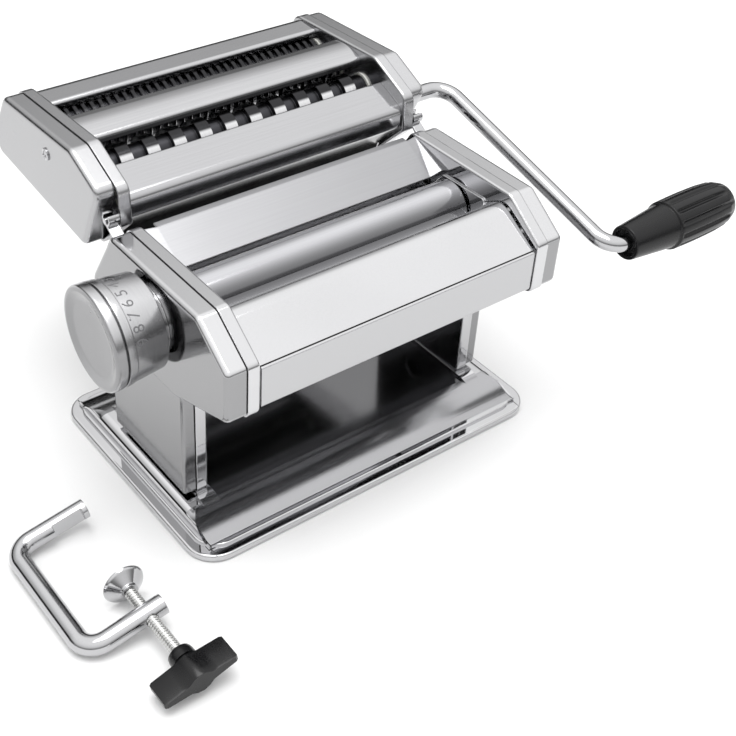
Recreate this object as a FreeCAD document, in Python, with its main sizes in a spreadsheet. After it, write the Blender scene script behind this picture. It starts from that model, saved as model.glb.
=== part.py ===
"""Hand-cranked pasta roller with a removable cutter head and a table clamp.

X runs along the rollers towards the crank side, the front is -Y, and +Z is up.
The origin is on the table, under the middle of the base.  Millimetres throughout.
"""
import FreeCAD
import Part
import Sketcher
import math
import os
from FreeCAD import Placement, Rotation, Vector

doc = FreeCAD.newDocument("PastaRoller")

# Driving dimensions: alias, millimetres or degrees, meaning.
DIMENSIONS = (
    ("sheet_wall", 1.2, "thickness of the pressed steel"),
    ("foot_gap", 1.0, "base rim above the table"),
    ("foot_radius", 5.0, "rubber foot"),
    ("foot_height", 4.4, "rubber foot, table to tray roof"),
    ("base_width", 200.0, "base along X"),
    ("base_depth", 138.0, "base along Y"),
    ("base_corner", 15.0, "corner radius of the base"),
    ("bead_height", 3.0, "outer bead of the rim"),
    ("step_inset", 5.0, "second bead in from the first"),
    ("step_height", 1.6, "second bead above the first"),
    ("hump_half", 93.0, "raised plateau, half its length"),
    ("hump_round", 5.0, "rounded ends of the plateau"),
    ("hump_top", 11.0, "top of the plateau"),
    ("seat_top", 12.5, "top of the ridges that carry the legs"),
    ("seat_start", 75.0, "inner side of the ridges"),
    ("seat_width", 8.5, "ridge along X"),
    ("plate_x", 76.0, "inner face of the side plates"),
    ("flange_depth", 6.0, "side plate's turned edge"),
    ("plate_round", 1.2, "bend of the turned edge"),
    ("cover_step", 6.5, "flange edge to the leg's outer face"),
    ("cover_depth", 10.0, "flange edge to the cover's face"),
    ("cover_lip", 0.8, "covers in from the edge of the side plates"),
    ("cover_round", 2.6, "rolled edge of the covers"),
    ("dial_y", -20.0, "dial axis"),
    ("dial_z", 108.5, "dial axis"),
    ("roller_radius", 12.4, "smooth rollers"),
    ("roller_half", 73.8, "smooth rollers, half length"),
    ("roller_line", -20.0, "slope of the line through both roller axes, degrees"),
    ("gap_least", 0.3, "closest roller gap"),
    ("throw", 1.15, "offset of the eccentric shaft"),
    ("running_fit", 0.06, "radial play of a shaft in its bush"),
    ("rear_journal", 6.0, "journals of the rear roller"),
    ("rear_bush", 9.0, "outside of the rear roller's bushes"),
    ("neck_bore", 6.4, "bore of the front roller"),
    ("neck_radius", 8.0, "hub of the front roller that carries its gear"),
    ("neck_room", 10.2, "hole round the front roller's hub"),
    ("shaft_radius", 5.0, "eccentric shaft where it carries the dial"),
    ("pin_radius", 4.0, "offset middle of the eccentric shaft"),
    ("shaft_bush", 8.0, "outside of the dial's bush"),
    ("gear_start", 77.6, "inner face of the roller gears"),
    ("gear_width", 8.0, "roller gears"),
    ("tie_radius", 3.5, "tie rods of the body"),
    ("clamp_hole_y", 0.0, "clamp hole in the right leg"),
    ("clamp_hole_z", 30.0, "clamp hole in the right leg"),
    ("clamp_hole_radius", 5.5, "clamp hole in the right leg"),
    ("socket_radius", 4.2, "bore that takes the crank"),
    ("rod_radius", 4.1, "crank rod"),
    ("head_cover_depth", 9.5, "cutter cover beyond its flange"),
    ("wide_y", 38.0, "front wide cutter roll"),
    ("wide_z", 135.5, "front wide cutter roll"),
    ("wide_pitch", 14.0, "ring to ring on a wide roll"),
    ("wide_radius", 9.5, "rings of the wide rolls"),
    ("wide_centres", 16.8, "wide rolls, axis to axis"),
    ("wide_line", 12.0, "slope of the line through the wide axes, degrees"),
    ("thin_y", 78.2, "front thin cutter roll"),
    ("thin_z", 142.3, "front thin cutter roll"),
    ("thin_pitch", 4.4, "ring to ring on a thin roll"),
    ("thin_radius", 9.2, "rings of the thin rolls"),
    ("thin_centres", 16.6, "thin rolls, axis to axis"),
    ("ring_play", 0.25, "side clearance between meshing rings"),
    ("journal_radius", 5.8, "cutter roll journals"),
    ("cutter_gear_start", -81.7, "outer face of the cutter gears"),
    ("cutter_gear_width", 3.2, "cutter gears"),
    ("cutter_bush_wall", 1.75, "wall of the cutter bushes"),
    ("hook_y", 23.0, "guide hooks that carry the cutter head"),
    ("hook_z", 133.5, "guide hooks that carry the cutter head"),
    ("crank_reach", 117.0, "crank arm's plane"),
    ("crank_length", 130.0, "crank shank to grip axis"),
    ("crank_tilt", 194.7, "direction of the arm about X, degrees"),
    ("grip_start", 127.0, "near end of the grip"),
    ("grip_length", 70.5, "grip"),
    ("grip_radius", 12.6, "widest place of the grip"),
    ("grip_neck", 27.0, "plain cone at the near end of the grip"),
    ("clamp_x", -165.0, "clamp's back rod"),
    ("clamp_y", -13.0, "clamp's upper arm"),
    ("clamp_rod", 4.7, "radius of the clamp's rod"),
    ("clamp_span", 70.0, "between the clamp's arms"),
    ("clamp_arm_length", 37.0, "length of the clamp's arms"),
    ("clamp_screw_x", 29.0, "screw axis from the back rod"),
    ("clamp_screw_radius", 2.9, "clamp screw"),
    ("clamp_tip", 10.4, "tilt of the clamp as it lies, degrees"),
    ("pad_radius", 9.85, "clamp's cup"),
)

sheet = doc.addObject("Spreadsheet::Sheet", "Dimensions")
for row, (alias, value, meaning) in enumerate(DIMENSIONS, start=1):
    sheet.set(f"A{row}", meaning)
    sheet.set(f"B{row}", str(value))
    sheet.setAlias(f"B{row}", alias)
doc.recompute()

NODES = []
CUTS = []


def size(alias):
    """Value of one driving dimension."""
    return float(sheet.get(alias))


def cell(text):
    """Expression text in which every known alias points at its cell."""
    words = {alias for alias, _, _ in DIMENSIONS}
    out = ""
    word = ""
    for letter in text + " ":
        if letter.isalnum() or letter == "_":
            word += letter
            continue
        out += f"Dimensions.{word}" if word in words else word
        out += letter
        word = ""
    return out.strip()


# Outlines

def point(x, y):
    return Vector(x, y, 0)


def rounded(corners):
    """Edges of a closed outline; each corner is (x, y) or (x, y, radius)."""
    points = [point(c[0], c[1]) for c in corners]
    radii = [c[2] if len(c) > 2 else 0 for c in corners]
    count = len(points)
    arcs = []
    for i, here in enumerate(points):
        back = points[i - 1].sub(here).normalize()
        ahead = points[(i + 1) % count].sub(here).normalize()
        half = back.getAngle(ahead) / 2
        if radii[i] <= 0 or abs(half - math.pi / 2) < 1e-6:
            arcs.append((here, None, here))
            continue
        run = radii[i] / math.tan(half)
        middle = back.add(ahead).normalize()
        near = here.add(middle.multiply(radii[i] / math.sin(half) - radii[i]))
        arcs.append((here.add(back.multiply(run)), near, here.add(ahead.multiply(run))))
    edges = []
    for i, (start, near, end) in enumerate(arcs):
        if near is not None:
            edges.append(Part.Arc(start, near, end))
        following = arcs[(i + 1) % count][0]
        if end.distanceToPoint(following) > 1e-6:
            edges.append(Part.LineSegment(end, following))
    return edges


def inset(corners, gap):
    """The same outline, drawn anticlockwise, moved inwards by a gap."""
    count = len(corners)
    lines = []
    for i in range(count):
        start = point(corners[i][0], corners[i][1])
        end = point(corners[(i + 1) % count][0], corners[(i + 1) % count][1])
        along = end.sub(start).normalize()
        inward = point(-along.y, along.x)
        lines.append((start.add(inward.multiply(gap)), along))
    moved = []
    for i in range(count):
        first, u = lines[i - 1]
        second, v = lines[i]
        turn = u.x * v.y - u.y * v.x
        step = ((second.x - first.x) * v.y - (second.y - first.y) * v.x) / turn
        radius = corners[i][2] if len(corners[i]) > 2 else 0
        radius = radius - gap if turn > 0 else radius + gap
        moved.append((first.x + u.x * step, first.y + u.y * step, max(radius, 0)))
    return moved


def strip(corners, wall):
    """Closed outline of a bent sheet; the wall lies left of the given line."""
    count = len(corners)
    near = []
    far = []
    for i, corner in enumerate(corners):
        here = point(corner[0], corner[1])
        radius = corner[2] if len(corner) > 2 else 0
        normals = []
        if i > 0:
            along = here.sub(point(*corners[i - 1][:2])).normalize()
            normals.append(point(-along.y, along.x))
        if i < count - 1:
            along = point(*corners[i + 1][:2]).sub(here).normalize()
            normals.append(point(-along.y, along.x))
        middle = normals[0].add(normals[-1]).normalize()
        reach = wall / middle.dot(normals[0])
        left = normals[0].cross(normals[-1]).z > 0
        far_radius = 0
        if radius > 0:
            far_radius = max(radius - wall, 0.05) if left else radius + wall
        near.append((here.x, here.y, radius))
        far.append((here.x + middle.x * reach, here.y + middle.y * reach, far_radius))
    return near + far[::-1]


def gear_teeth(count, root, tip, root_half, tip_half, turn):
    """Outline of a coarse spur gear; turn is the direction of one tooth in degrees."""
    corners = []
    for k in range(count):
        middle = math.radians(turn) + 2 * math.pi * k / count
        for radius, half in ((root, -root_half), (tip, -tip_half), (tip, tip_half), (root, root_half)):
            angle = middle + math.asin(half / radius)
            corners.append((radius * math.cos(angle), radius * math.sin(angle)))
    return corners


def rectangle(width, depth, corner):
    x, y = width / 2, depth / 2
    return [(-x, -y, corner), (x, -y, corner), (x, y, corner), (-x, y, corner)]


# Features

def new_body(label, y="0", z="0"):
    """A body whose local X axis may be carried to an axis at (y, z)."""
    body = doc.addObject("PartDesign::Body", label)
    body.Label = label
    body.setExpression("Placement.Base.y", cell(y))
    body.setExpression("Placement.Base.z", cell(z))
    NODES.append(body)
    return body


def new_sketch(body, role, offset="0"):
    """An empty sketch on one of the body's own planes, moved along its normal."""
    sketch = body.newObject("Sketcher::SketchObject", body.Label + "_sketch")
    plane = next(f for f in body.Origin.OriginFeatures if f.Role == role)
    sketch.AttachmentSupport = [(plane, "")]
    sketch.MapMode = "FlatFace"
    sketch.setExpression("AttachmentOffset.Base.z", cell(offset))
    return sketch


def draw(sketch, *outlines):
    for corners in outlines:
        sketch.addGeometry(rounded(corners), False)
    return sketch


def circle(sketch, radius, x=0.0, y=0.0):
    """A circle whose radius is bound to the sheet."""
    index = sketch.addGeometry(Part.Circle(point(x, y), Vector(0, 0, 1), 1.0), False)
    rule = sketch.addConstraint(Sketcher.Constraint("Radius", index, 1.0))
    sketch.setExpression(f"Constraints[{rule}]", cell(radius))
    return sketch


def pad(sketch, length, backwards=False):
    body = sketch.getParentGeoFeatureGroup()
    feature = body.newObject("PartDesign::Pad", body.Label + "_pad")
    feature.Profile = sketch
    feature.setExpression("Length", cell(length))
    feature.Reversed = backwards
    return feature


def pocket(sketch, length, backwards=False):
    """A cut against the sketch's normal, or along it when backwards."""
    body = sketch.getParentGeoFeatureGroup()
    before = body.Tip
    feature = body.newObject("PartDesign::Pocket", body.Label + "_pocket")
    feature.Profile = sketch
    feature.setExpression("Length", cell(length))
    feature.Reversed = backwards
    CUTS.append((before, feature))
    return feature


def turned(label, y, z, corners):
    """A piece turned about X; corners are (place along X, radius[, rounding])."""
    body = new_body(label, y, z)
    sketch = draw(new_sketch(body, "XY_Plane"), corners)
    feature = body.newObject("PartDesign::Revolution", label + "_turn")
    feature.Profile = sketch
    feature.ReferenceAxis = (sketch, ["H_Axis"])
    feature.Angle = 360
    return body


def round_edges(body, radius, chosen):
    """Fillet every edge whose points all pass the test."""
    doc.recompute()
    base = body.Tip
    names = []
    for number, edge in enumerate(base.Shape.Edges, start=1):
        samples = [edge.valueAt(edge.FirstParameter), edge.valueAt(edge.LastParameter)]
        samples.append(edge.valueAt((edge.FirstParameter + edge.LastParameter) / 2))
        if all(chosen(sample) for sample in samples):
            names.append(f"Edge{number}")
    feature = body.newObject("PartDesign::Fillet", body.Label + "_round")
    feature.Base = (base, names)
    feature.setExpression("Radius", cell(radius))
    return feature


def repeat(body, feature, kind, count, amount, role="X_Axis"):
    """A linear or polar pattern of one feature along or about X."""
    pattern = body.newObject("PartDesign::" + kind, body.Label + "_pattern")
    pattern.Originals = [feature]
    axis = next(f for f in body.Origin.OriginFeatures if f.Role == role)
    if kind == "LinearPattern":
        pattern.Direction = (axis, [""])
        pattern.Length = amount
    else:
        pattern.Axis = (axis, [""])
        pattern.Angle = amount
    pattern.Occurrences = count
    body.Tip = pattern
    return pattern


def tube(label, outer, inner, runs, y, z):
    """Plain rings on one axis along X, from (start, length) runs, as one node."""
    pieces = []
    for start, length in runs:
        solids = []
        for radius in (outer, inner):
            cylinder = doc.addObject("Part::Cylinder", label + "_cylinder")
            cylinder.setExpression("Radius", cell(radius))
            cylinder.setExpression("Height", cell(length))
            cylinder.Placement = Placement(Vector(0, 0, 0), Rotation(Vector(0, 1, 0), 90))
            cylinder.setExpression("Placement.Base.x", cell(start))
            cylinder.setExpression("Placement.Base.y", cell(y))
            cylinder.setExpression("Placement.Base.z", cell(z))
            solids.append(cylinder)
        ring = doc.addObject("Part::Cut", label + "_ring")
        ring.Base = solids[0]
        ring.Tool = solids[1]
        pieces.append(ring)
    return pieces


def joined(label, pieces):
    """Several like pieces that share one node."""
    node = doc.addObject("Part::Compound", label)
    node.Label = label
    node.Links = pieces
    NODES.append(node)
    return node


def rod(label, radius, start, length, y, z, direction=Vector(0, 1, 0)):
    cylinder = doc.addObject("Part::Cylinder", label + "_rod")
    cylinder.setExpression("Radius", cell(radius))
    cylinder.setExpression("Height", cell(length))
    turn = Rotation(Vector(0, 0, 1), Vector(1, 0, 0)) if direction.y else Rotation()
    cylinder.Placement = Placement(Vector(0, 0, 0), turn)
    cylinder.setExpression("Placement.Base.x", cell(start))
    cylinder.setExpression("Placement.Base.y", cell(y))
    cylinder.setExpression("Placement.Base.z", cell(z))
    return cylinder


WALL = size("sheet_wall")
LIP = size("cover_lip")
SIDES = (("left", -1), ("right", 1))


def signed(side, text):
    """A place along X on the left or the right."""
    return text if side > 0 else f"-({text})"


# Base

def curb(top, foot, reach, low):
    """Side view of a raised band that swells up from the tray."""
    start = size("foot_gap") + size("bead_height") + size("step_height")
    return [
        (-reach, low), (reach, low), (reach, start), (reach - 4.0, start, 8.0),
        (foot, top, 11.0), (-foot, top, 11.0), (4.0 - reach, start, 8.0), (-reach, start),
    ]


def shoulder(side):
    """What is cut away above a rounded end of the plateau, in front view."""
    end, top, radius = size("hump_half"), size("hump_top"), size("hump_round")
    return [
        (side * end, top - radius), (side * (end + 1), top - radius), (side * (end + 1), top + 1),
        (side * (end - radius - 1), top + 1), (side * (end - radius - 1), top), (side * end, top, radius),
    ]


def base_plate():
    body = new_body("base_plate")
    width, depth, corner = size("base_width"), size("base_depth"), size("base_corner")
    step = size("step_inset")
    rim = draw(new_sketch(body, "XY_Plane", "foot_gap"), rectangle(width, depth, corner))
    pad(rim, "bead_height")
    bead_top = size("foot_gap") + size("bead_height")
    round_edges(body, "bead_height * 0.45", lambda p: abs(p.z - bead_top) < 1e-4)
    inner = rectangle(width - 2 * step, depth - 2 * step, corner - step / 2)
    pad(draw(new_sketch(body, "XY_Plane", "foot_gap + bead_height"), inner), "step_height")
    step_top = bead_top + size("step_height")
    round_edges(body, "step_height * 0.6", lambda p: abs(p.z - step_top) < 1e-4)
    low = bead_top + 0.4
    reach = depth / 2 - step - 2.0
    hump = curb(size("hump_top"), 45.0, reach, low)
    seat = curb(size("seat_top"), 40.0, reach, low)
    pad(draw(new_sketch(body, "YZ_Plane", "-hump_half"), hump), "2 * hump_half")
    for _, side in SIDES:
        ends = draw(new_sketch(body, "XZ_Plane", "base_depth / 2"), shoulder(side))
        pocket(ends, "base_depth")
    for _, side in SIDES:
        pad(draw(new_sketch(body, "YZ_Plane", signed(side, "seat_start")), seat), "seat_width", side < 0)
    under = rectangle(width - 2 * WALL, depth - 2 * WALL, corner - WALL)
    pocket(draw(new_sketch(body, "XY_Plane", "foot_gap"), under), "bead_height - sheet_wall", True)
    gap = 2 * (step + WALL)
    under = rectangle(width - gap, depth - gap, corner - step / 2 - WALL)
    deep = "bead_height + step_height - sheet_wall"
    pocket(draw(new_sketch(body, "XY_Plane", "foot_gap"), under), deep, True)
    hollow = curb(size("hump_top") - WALL, 44.6, reach - WALL, size("foot_gap") + 1.0)
    hollow = [(c[0], c[1] - (WALL if abs(c[1] - step_top) < 1e-6 else 0), *c[2:]) for c in hollow]
    end = "hump_half - hump_round"
    pocket(draw(new_sketch(body, "YZ_Plane", end), hollow), f"2 * ({end})")


def base_feet():
    feet = []
    for x in (-84, 84):
        for y in (-56, 56):
            feet.append(rod("base_feet", "foot_radius", str(x), "foot_height", str(y), "0", Vector(0, 0, 1)))
    joined("base_feet", feet)


# Side frames of the body

BODY_TOP = [(14.0, 131.5, 6.0), (-58.0, 131.5, 5.0), (-80.5, 115.0, 4.0), (-79.5, 88.5, 5.0)]
BODY_REAR = (36.0, 98.0, 12.0)
LEG = [(-37.0, 76.5, 9.0), (-35.0, size("seat_top"), 2.5), (31.0, size("seat_top"), 2.5), (30.0, 78.0, 9.0)]
SIDE_OUTLINE = BODY_TOP + LEG + [BODY_REAR]
BODY_OUTLINE = BODY_TOP + [(-36.0, 74.5, 14.0), (24.0, 74.5, 14.0), BODY_REAR]


def rear_axis():
    """Axis of the fixed rear roller as (y, z) text."""
    reach = "(2 * roller_radius + gap_least + throw)"
    return (f"dial_y + {reach} * cos(roller_line * 1 deg)", f"dial_z + {reach} * sin(roller_line * 1 deg)")


def polar(reach, degrees):
    angle = math.radians(degrees)
    return reach * math.cos(angle), reach * math.sin(angle)


ROLLER_CENTRES = 2 * size("roller_radius") + size("gap_least") + size("throw")
REAR_STEP = polar(ROLLER_CENTRES, size("roller_line"))
DIAL = (size("dial_y"), size("dial_z"))
REAR = (DIAL[0] + REAR_STEP[0], DIAL[1] + REAR_STEP[1])
FRONT_STEP = polar(-size("throw"), size("roller_line"))
CLAMP_HOLE = (size("clamp_hole_y"), size("clamp_hole_z"))


def tray(label, side, outline, holes):
    """A pressed side plate: a flat wall on the inner face with an edge turned outwards all round.

    Holes are (y, z, radius) through the flat wall.
    """
    body = new_body(label)
    pad(draw(new_sketch(body, "YZ_Plane", signed(side, "plate_x")), outline), "flange_depth", side < 0)
    inner = side * size("plate_x")
    round_edges(body, "plate_round", lambda p: abs(p.x - inner) < 1e-4)
    rim = new_sketch(body, "YZ_Plane", signed(side, "plate_x + flange_depth"))
    pocket(draw(rim, inset(outline, WALL)), "flange_depth - sheet_wall", side < 0)
    drill(body, side, "plate_x", "flange_depth", holes)


def drill(body, side, start, depth, holes):
    sketch = new_sketch(body, "YZ_Plane", signed(side, f"{start} + {depth} + 5"))
    for y, z, radius in holes:
        circle(sketch, radius, y, z)
    pocket(sketch, f"{depth} + 10", side < 0)


def side_plates():
    for name, side in SIDES:
        holes = [(*REAR, "rear_bush"), (*DIAL, "neck_room" if side > 0 else "shaft_bush")]
        if side > 0:
            holes.append((*CLAMP_HOLE, "clamp_hole_radius"))
        tray(f"{name}_inner_plate", side, anticlockwise(SIDE_OUTLINE), holes)


def anticlockwise(corners):
    """Outline in anticlockwise order, which the inset needs."""
    area = sum(a[0] * b[1] - b[0] * a[1] for a, b in zip(corners, corners[1:] + corners[:1]))
    return corners if area > 0 else corners[::-1]


def side_covers():
    for name, side in SIDES:
        outline = inset(anticlockwise(SIDE_OUTLINE), LIP)
        face = inset(anticlockwise(BODY_OUTLINE), LIP)
        rim = "plate_x + flange_depth"
        body = new_body(f"{name}_outer_cover")
        pad(draw(new_sketch(body, "YZ_Plane", signed(side, rim)), outline), "cover_step", side < 0)
        leg = side * (size("plate_x") + size("flange_depth") + size("cover_step"))
        round_edges(body, "cover_round * 0.6", lambda p: abs(p.x - leg) < 1e-4)
        pad(draw(new_sketch(body, "YZ_Plane", signed(side, rim)), face), "cover_depth", side < 0)
        outer = side * (size("plate_x") + size("flange_depth") + size("cover_depth"))
        round_edges(body, "cover_round", lambda p: abs(p.x - outer) < 1e-4)
        low = draw(new_sketch(body, "YZ_Plane", signed(side, rim)), inset(outline, WALL))
        pocket(low, "cover_step - sheet_wall", side > 0)
        high = draw(new_sketch(body, "YZ_Plane", signed(side, rim)), inset(face, WALL + 0.8))
        pocket(high, "cover_depth - sheet_wall", side > 0)
        if side > 0:
            holes = [(*REAR, "rear_journal + 1"), (*CLAMP_HOLE, "clamp_hole_radius")]
            drill(body, side, rim, "cover_depth", holes)
        else:
            collar = new_sketch(body, "YZ_Plane", signed(side, f"{rim} + cover_depth - sheet_wall"))
            pad(circle(collar, "16", *DIAL), "sheet_wall + 2.2", True)
            drill(body, side, rim, "cover_depth", [(*DIAL, "shaft_radius + 2")])


def sheet_part(label, half, line, wall=1.0):
    """A bent sheet between the side plates; the line is its face in side view."""
    body = new_body(label)
    pad(draw(new_sketch(body, "YZ_Plane", f"-({half})"), strip(line, wall)), f"2 * ({half})")
    return body


def front_panel():
    line = [
        (-36.2, 112.0), (-37.4, 117.4, 1.5), (-55.0, 126.8, 9.0), (-79.4, 111.4, 0.8),
        (-78.8, 90.8, 1.2), (-72.0, 90.4),
    ]
    sheet_part("front_panel", "plate_x - 1", line)


def hopper_plate():
    """Sloping chute over the rear roller, with a wing folded up at each end."""
    low = (-9.5, 119.3)
    bend = (9.6, 130.4, 2.0)
    top = (13.0, 130.6)
    body = sheet_part("hopper_chute", "plate_x - 6", [top, bend, low])
    doc.recompute()
    half = size("plate_x")
    wings = [body.Shape]
    for _, side in SIDES:
        corners = [
            Vector(side * (half - 6), low[0], low[1]), Vector(side * half, low[0] - 1.5, low[1] + 2.5),
            Vector(side * half, bend[0] + 1.0, bend[1] + 0.3), Vector(side * (half - 6), bend[0], bend[1]),
        ]
        wings.append(wing(corners))
    node = doc.addObject("Part::Feature", "hopper_plate")
    node.Shape = wings[0].multiFuse(wings[1:]).removeSplitter()
    node.Label = "hopper_plate"
    NODES.remove(body)
    NODES.append(node)


def wing(corners):
    """A thin folded wing: two triangles thickened downwards."""
    drop = Vector(0, 0.45, -0.9)
    first = Part.Face(Part.makePolygon([corners[0], corners[1], corners[2], corners[0]]))
    second = Part.Face(Part.makePolygon([corners[0], corners[2], corners[3], corners[0]]))
    return first.extrude(drop).fuse(second.extrude(drop))


def end_guards():
    for name, side in SIDES:
        body = new_body(f"{name}_end_guard")
        outline = anticlockwise([
            (-12.8, 120.6, 2.0), (-44.0, 121.4, 2.0), (-33.0, 96.0, 3.0),
            (-6.5, 96.0, 3.0), (-6.0, 112.0, 2.0),
        ])
        sketch = draw(new_sketch(body, "YZ_Plane", signed(side, "plate_x - 1")), outline)
        pad(sketch, "1", side < 0)
        drill(body, side, "plate_x - 1", "1", [(*DIAL, "neck_room + 0.4")])


def scrapers():
    tip = (-28.9, 97.0)
    sheet_part("front_scraper", "plate_x - 1", [(-41.0, 91.0), (-33.0, 93.0, 2.0), tip])
    edge = (REAR[0] + 9.1, REAR[1] - 9.3)
    sheet_part("rear_scraper", "plate_x", [edge, (18.0, 87.0, 2.0), (25.0, 86.0)])


TIE_PLACES = ((-62.0, 102.0), (26.5, 82.0))


def tie_rods():
    rods = []
    for y, z in TIE_PLACES:
        rods.append(rod("tie_rods", "tie_radius", "-plate_x", "2 * plate_x", str(y), str(z)))
    joined("tie_rods", rods)


def guide_hooks():
    """Curled lugs on the covers' rear slope; a stud of the cutter head drops into each."""
    for name, side in SIDES:
        start = "plate_x + flange_depth + 0.5"
        body = new_body(f"{name}_guide_hook", "hook_y", "hook_z")
        sketch = new_sketch(body, "YZ_Plane", signed(side, start))
        outer, inner = 3.4, 2.3
        low, high = math.radians(135), math.radians(405)
        for radius in (outer, inner):
            ring = Part.ArcOfCircle(Part.Circle(point(0, 0), Vector(0, 0, 1), radius), low, high)
            sketch.addGeometry(ring, False)
        for angle in (low, high):
            ends = [point(radius * math.cos(angle), radius * math.sin(angle)) for radius in (outer, inner)]
            sketch.addGeometry(Part.LineSegment(*ends), False)
        pad(sketch, "5.5", side < 0)
        seat = point(BODY_TOP[0][0] - size("hook_y"), BODY_TOP[0][1] - size("hook_z"))
        along = point(BODY_REAR[0] - BODY_TOP[0][0], BODY_REAR[1] - BODY_TOP[0][1]).normalize()
        away = point(-along.y, along.x)
        first = seat + along * 5.0 - away * LIP
        second = seat + along * 13.0 - away * LIP
        root = first + away * (6.8 + LIP)
        neck = root + along * 1.2
        foot = second + away * 1.2
        heel = first + along * 1.2 + away * 1.2
        corners = [(p.x, p.y) for p in (first, second, foot, heel, neck, root)]
        tail = draw(new_sketch(body, "YZ_Plane", signed(side, start)), corners)
        pad(tail, "5.5", side < 0)


def body_screws():
    """Heads of the screws that hold the side plates to the tie rods, under the covers."""
    heads = []
    for _, side in SIDES:
        start = "plate_x + sheet_wall" if side > 0 else "-plate_x - sheet_wall - 1.6"
        for y, z in TIE_PLACES:
            heads.append(rod("body_screws", "3.2", start, "1.6", str(y), str(z)))
    joined("body_screws", heads)


# Smooth rollers, eccentric shaft and dial

def smooth_rollers():
    radius, half = size("roller_radius"), size("roller_half")
    end = size("plate_x") + size("flange_depth") + 9.0
    front = ("dial_y - throw * cos(roller_line * 1 deg)", "dial_z - throw * sin(roller_line * 1 deg)")
    neck, hub = size("neck_bore"), size("neck_radius")
    hub_end = size("gear_start") + size("gear_width")
    turned("front_roller", *front, [
        (-half, neck), (-half, radius), (half, radius), (half, hub), (hub_end, hub), (hub_end, neck),
    ])
    depth = 14.0
    bore, journal, tail = size("socket_radius"), size("rear_journal"), -84.0
    turned("rear_roller", *rear_axis(), [
        (tail, 0), (tail, journal), (-half, journal), (-half, radius), (half, radius), (half, journal),
        (end, journal), (end, bore), (end - depth, bore), (end - depth, 0),
    ])
    toward = size("roller_line")
    place = ("gear_start", "gear_width")
    tooth = (10, 9.4, 14.8, 1.5, 0.6)
    spur("rear_roller_gear", rear_axis(), *place, "rear_journal", (*tooth, toward + 180))
    spur("front_roller_gear", front, *place, "neck_radius", (*tooth, toward + 18))
    runs = (("-plate_x - 2.4", "3.4"), ("plate_x - 1", "2.4"))
    fits = ("rear_bush", "rear_journal + running_fit")
    joined("rear_roller_bushes", tube("rear_bush", *fits, runs, *rear_axis()))
    runs = (("-73.5", "16"), ("68", "17.5"))
    fits = ("neck_bore - running_fit", "pin_radius + running_fit")
    joined("carrier_bushes", tube("carrier_bush", *fits, runs, *front))
    runs = (("-plate_x - flange_depth", "flange_depth + 0.4"),)
    left = tube("left_shaft_bush", "shaft_bush", "shaft_radius + running_fit", runs, "dial_y", "dial_z")
    runs = (("plate_x + flange_depth + cover_depth - sheet_wall - 3.8", "3.8"),)
    right = tube("right_shaft_bush", "shaft_bush - 1", "pin_radius + running_fit", runs, "dial_y", "dial_z")
    joined("shaft_bushes", left + right)


def spur(label, axis, start, width, bore, teeth):
    body = new_body(label, *axis)
    sketch = draw(new_sketch(body, "YZ_Plane", start), gear_teeth(*teeth))
    circle(sketch, bore)
    pad(sketch, width)


def eccentric_shaft():
    """Two journals on the dial axis and an offset middle that carries the front roller."""
    body = new_body("eccentric_shaft", "dial_y", "dial_z")
    pad(circle(new_sketch(body, "YZ_Plane", "-113"), "shaft_radius"), "38")
    pad(circle(new_sketch(body, "YZ_Plane", "-75.5"), "pin_radius", *FRONT_STEP), "162")
    pad(circle(new_sketch(body, "YZ_Plane", "86.2"), "pin_radius"), "4.2")


def dial():
    face = size("plate_x") + size("flange_depth") + size("cover_depth")
    collar = face + 2.2
    body = new_body("index_plate", "dial_y", "dial_z")
    sketch = circle(new_sketch(body, "YZ_Plane", str(-collar - 1.0)), "15")
    circle(sketch, "7")
    pad(sketch, "1")
    first = polar(11.5, 100.0)
    hole = circle(new_sketch(body, "YZ_Plane", str(-collar + 1.0)), "1.35", *first)
    cut = pocket(hole, "4")
    repeat(body, cut, "PolarPattern", 10, 180)
    back, front = -face - 3.6, -face - 23.0
    wall, bore, hub = 2.2, size("shaft_radius") + size("running_fit"), 8.5
    turned("dial_ring", "dial_y", "dial_z", [
        (back, 17.6), (back, 19.6), (front, 23.8), (front, bore), (back - 4.0, bore), (back - 4.0, hub),
        (front + wall, hub), (front + wall, 21.2),
    ])
    turned("dial_cap", "dial_y", "dial_z", [
        (front, 0), (front, 22.6), (front - 0.8, 22.6), (front - 0.8, 24.0), (front - 3.4, 24.0),
        (front - 5.4, 22.8), (front - 5.8, 20.6), (front - 4.8, 16.0), (front - 4.2, 0),
    ])
    pin = new_body("index_pin", "dial_y", "dial_z")
    tip = -collar - 1.0 - 0.3
    long = tip - front - wall
    pad(circle(new_sketch(pin, "YZ_Plane", str(front + wall)), "1", *first), str(long))


# Cutter head

HEAD_TOP = [(113.5, 156.5, 8.0), (45.5, 159.0, 7.0), (20.5, 147.5, 6.0)]
HEAD_LOW = [(39.5, 110.5, 5.0), (125.5, 120.0, 6.0), (129.5, 131.5, 8.0)]
HEAD_FACE = inset(anticlockwise(HEAD_TOP + HEAD_LOW), LIP)
HEAD_PLATE = anticlockwise(HEAD_TOP + [(20.0, 129.0, 2.5)] + HEAD_LOW)

WIDE_STEP = polar(size("wide_centres"), size("wide_line"))
WIDE = ((size("wide_y"), size("wide_z")), (size("wide_y") + WIDE_STEP[0], size("wide_z") + WIDE_STEP[1]))
THIN = ((size("thin_y"), size("thin_z")), (size("thin_y") + size("thin_centres"), size("thin_z")))
ROLL_HALF = 74.5


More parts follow.
